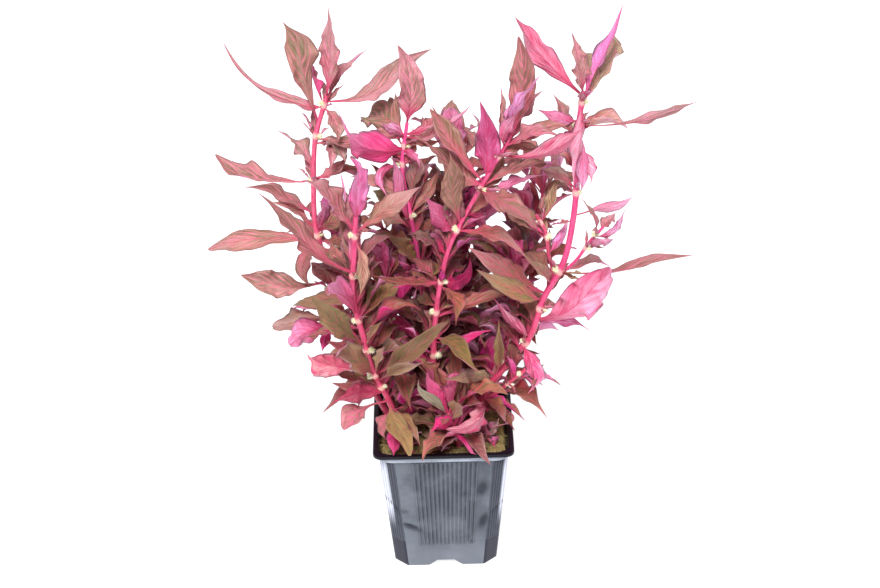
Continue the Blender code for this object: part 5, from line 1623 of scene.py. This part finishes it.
def upper_finish():
    """The upper face: brown and olive bands between pink side veins, a crimson flush from the stalk, and
    painted shade that darkens one half of the blade."""
    material, sheet, shader = new_finish("leaf_upper", leaf_light((1.0, 0.78, 0.72, 1.0)))
    across, along, rib, vein, streak, chance = vein_lines(sheet)
    band = sheet.speckle(sheet.arrow(across * 2.2, along * 1.1, chance * 13.0), 1.0, 3.0, 0.55)
    patch = sheet.speckle(sheet.arrow(across * 1.2, along * 2.6, chance * 29.0), 1.0, 3.0, 0.6)
    mould = sheet.speckle(sheet.arrow(across * 1.4, along * 1.8, chance * 37.0), 1.0, 3.0, 0.6)
    grain = sheet.speckle(sheet.place(), 1300.0, 3.0, 0.7)
    blade = sheet.painted("upper", "Color")
    lines = sheet.painted("upper_vein", "Color")
    # One half of the blade, which painted shade darkens.
    shaded_half = abs(across.step(-0.08, 0.08) - (chance * 7.0).fraction().step(0.48, 0.52))
    flush = along.step(0.8, 0.1) * patch.step(0.4, 0.58) * (chance * 11.0).fraction()
    # Some leaves are paler towards their end.
    paler_end = along.step(0.35, 0.95) * (chance * 23.0).fraction().step(0.35, 1.0)
    colour = sheet.coat(
        blade,
        (band.step(0.44, 0.62) * 0.4 + streak.step(0.46, 0.62) * 0.35, lines),
        (mould.step(0.46, 0.6) * 0.6, (0.15, 0.125, 0.055)),
        # Painted shade on one half of the blade.
        (shaded_half * (chance * 17.0).fraction() * 0.6, (0.11, 0.052, 0.028)),
        (flush * 0.85, (0.5, 0.035, 0.115)),
        (paler_end * 0.5, (0.7, 0.36, 0.42)),
        (vein * 0.8, lines),
        (streak.step(0.47, 0.32) * 0.45, (0.085, 0.042, 0.022)),
        (grain.step(0.5, 0.85) * 0.18, (0.42, 0.28, 0.22)),
        (abs(across).step(0.8, 1.0) * 0.25, (0.5, 0.06, 0.14)),
        (along.step(0.26, 0.06) * 0.85, (0.58, 0.045, 0.15)),
        (rib * ((chance * 31.0).fraction() * 0.55 + 0.2), (0.62, 0.09, 0.15)))
    feed(shader, base_color=colour, roughness=patch * 0.15 + grain * 0.1 + 0.32,
         normal=sheet.bump(grain * 0.25 - vein * 0.8 - rib, 0.0005, 0.6))
    return material


def under_finish():
    """The underside: hot pink to plum with raised paler veins and cloudy streaks, paler to its end."""
    material, sheet, shader = new_finish("leaf_under", leaf_light((0.9, 0.66, 1.0, 1.0)))
    across, along, rib, vein, streak, chance = vein_lines(sheet)
    cloud = sheet.speckle(sheet.arrow(across * 1.6, along * 2.2, chance * 19.0), 1.0, 3.0, 0.6)
    grain = sheet.speckle(sheet.place(), 1100.0, 3.0, 0.7)
    blade = sheet.painted("under", "Color")
    lines = sheet.painted("under_vein", "Color")
    # One half of the blade, which painted shade darkens.
    shaded_half = abs(across.step(-0.08, 0.08) - (chance * 5.0).fraction().step(0.48, 0.52))
    # Some leaves are paler towards their end.
    paler_end = along.step(0.3, 0.95) * (chance * 23.0).fraction().step(0.2, 0.9)
    colour = sheet.coat(
        blade,
        (cloud.step(0.44, 0.58) * 0.55 + streak.step(0.45, 0.58) * 0.45, lines),
        # Painted shade on one half of the blade.
        (shaded_half * (chance * 17.0).fraction() * 0.5, (0.38, 0.015, 0.08)),
        (streak.step(0.44, 0.34) * 0.6, (0.42, 0.012, 0.09)),
        (paler_end * 0.45, (0.88, 0.5, 0.72)),
        (vein * 0.35, blade),
        (grain.step(0.5, 0.85) * 0.12, (0.85, 0.5, 0.68)),
        (along.step(0.45, 0.06) * cloud.step(0.3, 0.6) * 0.8, (0.55, 0.03, 0.1)),
        (rib * ((chance * 31.0).fraction() * 0.55 + 0.2), (0.64, 0.05, 0.14)))
    feed(shader, base_color=colour, roughness=cloud * 0.15 + grain * 0.1 + 0.34,
         normal=sheet.bump(vein * 0.8 + rib + grain * 0.3, 0.0005, 0.6))
    return material


# What chance gives each visible leaf, between two ends.
BLADE_CHANCES = {"fold": (0.2, 0.95), "ripple": (0.7, 1.5), "twist": (-0.9, 0.9), "wave": (-0.05, 0.05),
                 "sway": (-0.05, 0.05), "belly": (0.38, 0.52), "drawn": (-0.15, 0.55), "ragged": (0.6, 1.3),
                 "chance": (0, 1)}


def blade_tree(upper, under):
    """A closed blade on each seed point, bent, folded, rippled and twisted as the point says."""
    sheet, given = shape_tree("leaf_blade", {
        "Columns": 13, "Stations": 41, "Thickness": 0.24 * MM, "Keel": 0.55 * MM})
    layers = []
    for side in (1.0, -1.0):
        grid = sheet.node("GeometryNodeMeshGrid", None,
                          {"Size X": 2.0, "Size Y": 1.0, "Vertices X": given["Columns"],
                           "Vertices Y": given["Stations"]})
        x, y, _ = sheet.node("GeometryNodeInputPosition").parts()
        inside = (abs(x) < 0.999) * (abs(y) < 0.4999) * side
        bunched = x * (abs(x) ** 0.35)
        grid = sheet.carry(grid, "spot", sheet.arrow(bunched, y + 0.5, inside), "FLOAT_VECTOR")
        grid = sheet.carry(grid, "below", 0.5 - 0.5 * side, domain="FACE")
        grid = sheet.node("GeometryNodeSetPosition", None, {0: grid, "Offset": sheet.arrow(0.0, 0.0, inside)})
        layers.append(grid if side > 0 else sheet.node("GeometryNodeFlipFaces", None, {0: grid}))
    blade = sheet.node("GeometryNodeJoinGeometry", None, {0: layers})
    blade = sheet.node("GeometryNodeMergeByDistance", None, {0: blade, "Distance": 0.01})
    blades = sheet.node("GeometryNodeInstanceOnPoints", None, {0: given["Seed"], "Instance": blade})
    blades = sheet.node("GeometryNodeRealizeInstances", None, {0: blades})
    across, along, layer = sheet.trait("spot", "FLOAT_VECTOR").parts()
    root, knee, tip, face = (sheet.trait(name, "FLOAT_VECTOR") for name in ("root", "knee", "tip", "face"))
    wide, fold, ripple, twist, wave, sway, belly, drawn, ragged, chance = (
        sheet.trait(name) for name in ("wide", *BLADE_CHANCES))
    back = 1.0 - along
    rib = root * (back * back) + knee * (along * back * 2.0) + tip * (along * along)
    ahead = ((knee - root) * back + (tip - knee) * along).unit()
    flat_side = ahead.cross(face).unit()
    flat_up = flat_side.cross(ahead)
    turn = twist * (along - 0.25) * (along + 0.6)
    out = flat_side * turn.cosine() + flat_up * turn.sine()
    up = flat_up * turn.cosine() - flat_side * turn.sine()
    reach = (tip - root).maths("LENGTH")
    drift = belly.maths("LOGARITHM", math.e)
    outline = sheet.node("ShaderNodeFloatCurve", {"curve": BLADE_OUTLINE},
                         {"Value": along ** (drift ** -1.0 * math.log(BLADE_BELLY))})
    outline = outline ** (drawn * along.step(belly, 1.0) + 1.0)
    flank = across.step(-0.01, 0.01)
    jitter = sheet.speckle(sheet.arrow(along * 3.2, flank * 4.0, chance * 31.0), 1.0, 2.0, 0.5) - 0.5
    half = wide * 0.5 * outline * (1.0 + jitter * ragged * 0.5)
    away = abs(across)
    place = sheet.arrow(along * 5.0 * ripple, flank * 6.0 + 3.0, chance * 17.0)
    swell = sheet.speckle(place, 1.0, 1.0, 0.4) - 0.5
    angle = fold * along.step(0.05, 0.4)
    flare = (away * away + 0.015) ** 0.5 - 0.12
    lift = flare * half * angle.sine() + swell * half * away * away * 3.0
    winding = (along * math.tau).sine() * along
    bend = winding * wave * reach
    lean = winding * sway * reach
    deep = sheet.node("ShaderNodeMapRange", {"interpolation_type": "SMOOTHSTEP"},
                      {0: away, 1: 0.02, 2: 0.16, 3: 1.0, 4: 0.0}) * (1.0 - along * 0.8)
    lower = (layer < -0.5) * deep * given["Keel"]
    thick = layer * given["Thickness"] * 0.5
    spot = rib + out * (across * half * angle.cosine() + lean) + up * (lift + bend + thick - lower)
    blades = sheet.node("GeometryNodeSetPosition", None, {0: blades, "Position": spot})
    blades = sheet.carry(blades, "half", half)
    blades = sheet.node("GeometryNodeSetShadeSmooth", None, {0: blades})
    real = sheet.node("GeometryNodeRealizeInstances", None, {0: blades})
    real = sheet.node("GeometryNodeSetMaterial", None, {0: real, "Material": upper})
    real = sheet.node("GeometryNodeSetMaterial", None,
                      {0: real, "Selection": sheet.trait("below"), "Material": under})
    sheet.node("NodeGroupOutput", None, {0: real})
    return sheet.tree


# Young leaves at the nodes of the stems: how many there may be at each, where they begin as a share of the
# stem's radius, how far they lean along it and arch, their lengths in mm and how wide they are for them.
BUD_COUNTS = (2, 3, 3, 4)
BUD_START = 0.4
BUD_LEANS = (0.2, 1.3)
BUD_ARCHES = (-0.1, 0.25)
BUD_LENGTHS = (8, 22)
BUD_SHARES = (0.22, 0.34)
BUD_TONES = ("copper", "rose", "olive", "magenta", "ochre")
# Young leaves that stand in the medium round the stems' feet: the patch where they do across and in depth,
# how deep they stand in it and how near the pot's wall they may reach, in mm, and the share of them that
# show their undersides.
LOW_LEAVES = 46
LOW_ACROSS = (-37, 37)
LOW_DEPTHS = (-38, -8)
LOW_SINK = 1.5
LOW_LIMIT = 40 * MM
LOW_RISES = (20, 75)
LOW_LENGTHS = (9, 22)
LOW_SHARES = (0.3, 0.5)
LOW_ARCH = 0.2
LOW_TURNED = 0.4
LOW_TONES = ("ochre", "magenta", "sage", "olive", "rose", "pink", "copper", "ochre")


class Blade:
    """What one visible leaf needs: its midrib, size, bends and colours."""

    def __init__(self, root, knee, tip, wide, face, tone, chance, shade=1.0):
        self.root = root
        self.knee = knee
        self.tip = tip
        self.wide = wide
        self.face = face
        for trait, ends in BLADE_CHANCES.items():
            setattr(self, trait, chance.uniform(*ends))
        self.colours = []
        gap = (root + knee + tip) / 3 - PLANT_MIDDLE
        far = Vector((gap.x, gap.y * DEPTH_COUNTS, gap.z)).length
        pale = PALE_SHARE * min(1, max(0, (far - PALE_FROM) / (PALE_AT - PALE_FROM)))
        warm = chance.uniform(-WARMTH, WARMTH)
        for colour, sunlit in zip(LEAF_COLOURS[tone], PALE_COLOURS):
            light = chance.uniform(*LIGHTNESS) * shade
            own = Vector((colour[0], colour[1] * (1 + warm), colour[2] * (1 - warm)))
            red, green, blue = (own * light).lerp(Vector(sunlit), pale)
            self.colours.append((min(1, red), green, blue, 1))
        green = GREEN_SHARE * min(1, max(0, (GREEN_BELOW - root.z) / (GREEN_BELOW - GREEN_AT)))
        moss = Vector((*(value * shade for value in TINTS["moss"]), 1))
        self.colours[0] = tuple(Vector(self.colours[0]).lerp(moss, green))


def blades_mesh(name, kind, blades):
    """The mesh of a set of blades, cut as finely as their kind is."""
    traits = {trait: [getattr(blade, trait) for blade in blades]
              for trait in ("root", "knee", "tip", "face", "wide", *BLADE_CHANCES)}
    for place, trait in enumerate(("upper", "upper_vein", "under", "under_vein")):
        traits[trait] = [blade.colours[place] for blade in blades]
    seeds = seed_mesh(name + "_seeds", [blade.root for blade in blades], **traits)
    columns, stations = BLADE_GRIDS[kind]
    return grown(name + "_" + kind, seeds, leaf_tree, Columns=columns, Stations=stations)


def skin_root(stem, leaf):
    """Where a leaf's stalk enters the visible skin of its stem, close to where its solid meets the stem."""
    points, radii, _ = stem.skin
    near = nearest(points, leaf.root)
    return points[near] + (leaf.tip - points[near]).normalized() * radii[near] * STALK_START


def dress(leaf, chance, shade=1.0):
    """The visible blade of a leaf, with the habits that its line gives it."""
    knee = leaf.middle * 2 - (leaf.root + leaf.tip) / 2
    blade = Blade(skin_root(leaf.stem, leaf), knee, leaf.tip, leaf.width, leaf.face, leaf.tone, chance, shade)
    for trait, value in leaf.habit.items():
        if trait == "bow":
            across, up = numbers(value)
            blade.knee = blade.knee + (DRAWING_RIGHT * across + DRAWING_UP * up) * 2 * MM
        elif trait == "tint":
            tint, share = value.split(",")
            shares = [float(share) * part for part in (1, TINT_ON_VEINS, 1, 1)]
            blade.colours = [tuple(Vector(colour).lerp(Vector((*TINTS[tint], 1)), share))
                             for colour, share in zip(blade.colours, shares)]
        elif trait == "turn":
            along = (blade.tip - blade.root).normalized()
            blade.face = Matrix.Rotation(math.radians(float(value)), 3, along) @ blade.face
        elif trait == "wide":
            blade.wide *= float(value)
        else:
            setattr(blade, trait, float(value))
    return blade


def buds(stem, chance):
    """Small young leaves in the leaf angles of a stem's knobs, which its solid leaves out."""
    blades = []
    points, radii, _ = stem.skin
    for knob in stem.knobs:
        near = nearest(points, knob)
        along = (points[min(near + 1, len(points) - 1)] - points[max(near - 1, 0)]).normalized()
        for _ in range(chance.choice(BUD_COUNTS)):
            side = squared(compass(chance.uniform(0, math.tau)), along)
            out = (side + along * chance.uniform(*BUD_LEANS)).normalized()
            long = chance.uniform(*BUD_LENGTHS) * MM
            root = points[near] + side * radii[near] * BUD_START
            tip = root + out * long
            knee = (root + tip) / 2 + along * long * chance.uniform(*BUD_ARCHES)
            tone = chance.choice(BUD_TONES)
            wide = long * chance.uniform(*BUD_SHARES)
            blades.append(Blade(root, knee, tip, wide, squared(along, out), tone, chance))
    return blades


def low_leaves(chance):
    """The young leaves in the medium, each with the stem whose foot is nearest."""
    sets = {name: [] for name in stems}
    for _ in range(LOW_LEAVES):
        foot = (chance.uniform(*LOW_ACROSS), chance.uniform(*LOW_DEPTHS), MEDIUM_TOP - LOW_SINK)
        root = Vector(foot) * MM
        around = chance.uniform(0, math.tau)
        out, face = risen(around, math.radians(chance.uniform(*LOW_RISES)))
        long = chance.uniform(*LOW_LENGTHS) * MM
        tip = root + out * long
        if max(abs(tip.x), abs(tip.y)) < LOW_LIMIT:
            knee = (root + tip) / 2 + SKYWARD * long * LOW_ARCH
            if chance.random() < LOW_TURNED:
                face = -face
            near = min(stems, key=lambda name: (stems[name].points[0] - root).length)
            sets[near].append(Blade(root, knee, tip, long * chance.uniform(*LOW_SHARES), face,
                                    chance.choice(LOW_TONES), chance))
    return sets


stems = grow_plant()

for name, stem in stems.items():
    heights = FRONT_STEMS[name][2] if name in FRONT_STEMS else ()
    stem.knobs = find_knobs(stem, heights)
    stem.skin = skin_line(stem)
leaf_tree = blade_tree(upper_finish(), under_finish())
skin = skin_tree(stem_finish())
chance = random.Random(LOOKS_SHUFFLE)
stem_parts = {}
low = low_leaves(random.Random(LOW_SHUFFLE))

for name, stem in stems.items():
    points, thick, pale = stem.skin
    line = seed_mesh(name + "_line", points, [(i, i + 1) for i in range(len(points) - 1)], thick=thick,
                     pale=pale, hue=[STEM_HUES.get(name, 0.0)] * len(points))
    kinds = {"leaves": [dress(leaf, chance) for leaf in stem.leaves if not leaf.name],
             "inner": [dress(leaf, chance, chance.uniform(*INNER_LIGHT)) for leaf in stem.inner],
             "buds": buds(stem, chance) + low[name]}
    stem_parts[name] = [grown(name + "_skin", line, skin)]
    stem_parts[name] += [blades_mesh(name, kind, blades) for kind, blades in kinds.items() if blades]
    for leaf in stem.leaves:
        if leaf.name:
            blade = add_piece(leaf.name + "_blade", blades_mesh(leaf.name, "blade", [dress(leaf, chance)]))
            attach(blade, "root")
            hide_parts(leaf.name)
            "leaf_" + leaf.tone

# The flower heads.
# Small cream-white balls that sit without stalks in the leaf angles: tight clusters of papery florets,
# each a little pointed scale.
HEAD_SPREAD = (0.75, 1.25)
BALL_SHARE = 0.62
FLORET_SIZES = (0.6, 1.15)
FLORET_LENGTH = 1.5 * MM
FLORET_RADIUS = 0.42 * MM


def floret_finish():
    """Dry papery scales: cream, greenish towards the middle of the head."""
    material, sheet, shader = new_finish("floret", {
        "Specular IOR Level": 0.3, "Subsurface Weight": 0.2, "Subsurface Radius": (1.0, 0.9, 0.6),
        "Subsurface Scale": 1.0 * MM})
    place = sheet.place()
    mottle = sheet.speckle(place, 420.0, 2.0, 0.6)
    grain = sheet.speckle(place, 2400.0, 2.0, 0.6)
    colour = sheet.coat((0.72, 0.74, 0.4), (mottle.step(0.35, 0.65), (0.92, 0.88, 0.7)),
                        (grain.step(0.5, 0.8) * 0.4, (0.62, 0.5, 0.28)))
    feed(shader, base_color=colour, roughness=mottle * 0.2 + 0.6, normal=sheet.bump(grain, 0.0002, 0.5))
    return material


def head_tree(material):
    """A ball of florets on each seed point, as large as the point says."""
    sheet, given = shape_tree("flower_head", {
        "Ball": HEAD_RADIUS * BALL_SHARE, "Length": FLORET_LENGTH, "Radius": FLORET_RADIUS, "Shuffle": 5})
    ball = sheet.node("GeometryNodeMeshIcoSphere", None, {"Radius": given["Ball"], "Subdivisions": 2})
    scale = sheet.node("GeometryNodeMeshCone", None,
                       {"Vertices": 5, "Side Segments": 1, "Radius Top": 0.0,
                        "Radius Bottom": given["Radius"], "Depth": given["Length"]})
    normal = sheet.node("GeometryNodeInputNormal")
    turn = sheet.node("FunctionNodeAlignRotationToVector", {"axis": "Z"}, {"Vector": normal})
    scales = sheet.scatter(ball, scale, turn, sheet.draw(*FLORET_SIZES, given["Shuffle"]))
    cluster = sheet.node("GeometryNodeRealizeInstances", None, {0: scales})
    cluster = sheet.node("GeometryNodeJoinGeometry", None, {0: [cluster, ball]})
    spin = sheet.draw((0.0, 0.0, 0.0), (6.28, 6.28, 6.28), given["Shuffle"])
    heads = sheet.scatter(given["Seed"], cluster, spin, sheet.trait("large"))
    return end_tree(sheet, heads, material, smooth=False)


head_shape = head_tree(floret_finish())

for name, stem in stems.items():
    large = [chance.uniform(*HEAD_SPREAD) for _ in stem.heads]
    seeds = seed_mesh(name + "_head_seeds", stem.heads, large=large)
    dressed = joined(name + "_dressed", stem_parts[name] + [grown(name + "_heads", seeds, head_shape)])
    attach(dressed, "root")
    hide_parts(name)

# The studio.
# A white sweep under even white light, with one large soft key above the eye and a little to its left, so
# that what shadow there is falls behind the plant.
FLOOR_HALF = 15.0
KEY_AIM = Vector((0.1, 1.0, -1.1))
KEY_SPREAD = math.radians(18)
KEY_STRENGTH = 4.25
SKY_STRENGTH = 0.53


def make_studio():
    """The floor, the key light and the white surround."""
    mesh = bpy.data.meshes.new("studio_floor")
    corners = [(x * FLOOR_HALF, y * FLOOR_HALF, 0) for x, y in ((-1, -1), (1, -1), (1, 1), (-1, 1))]
    mesh.from_pydata(corners, [], [(0, 1, 2, 3)])
    material, sheet, shader = new_finish("white_sweep", {
        "Roughness": 0.9, "Specular IOR Level": 0.1, "Emission Color": (1.0, 1.0, 1.0, 1.0),
        "Emission Strength": 0.8})
    tooth = sheet.speckle(sheet.place(), 3.0, 2.0, 0.5)
    feed(shader, base_color=sheet.blend(tooth, (0.4, 0.4, 0.41), (0.43, 0.43, 0.44)))
    mesh.materials.append(material)
    add_piece("studio_floor", mesh)
    key = bpy.data.lights.new("key", "SUN")
    key.angle = KEY_SPREAD
    key.energy = KEY_STRENGTH
    lamp = add_piece("key", key)
    lamp.rotation_euler = KEY_AIM.to_track_quat("-Z", "Y").to_euler()
    world = bpy.data.worlds.new("white_room")
    world.use_nodes = True
    sky = world.node_tree.nodes["Background"]
    sky.inputs["Color"].default_value = (0.96, 0.95, 1.0, 1)
    sky.inputs["Strength"].default_value = SKY_STRENGTH
    bpy.context.scene.world = world
    bpy.context.scene.view_settings.view_transform = "Standard"


make_studio()
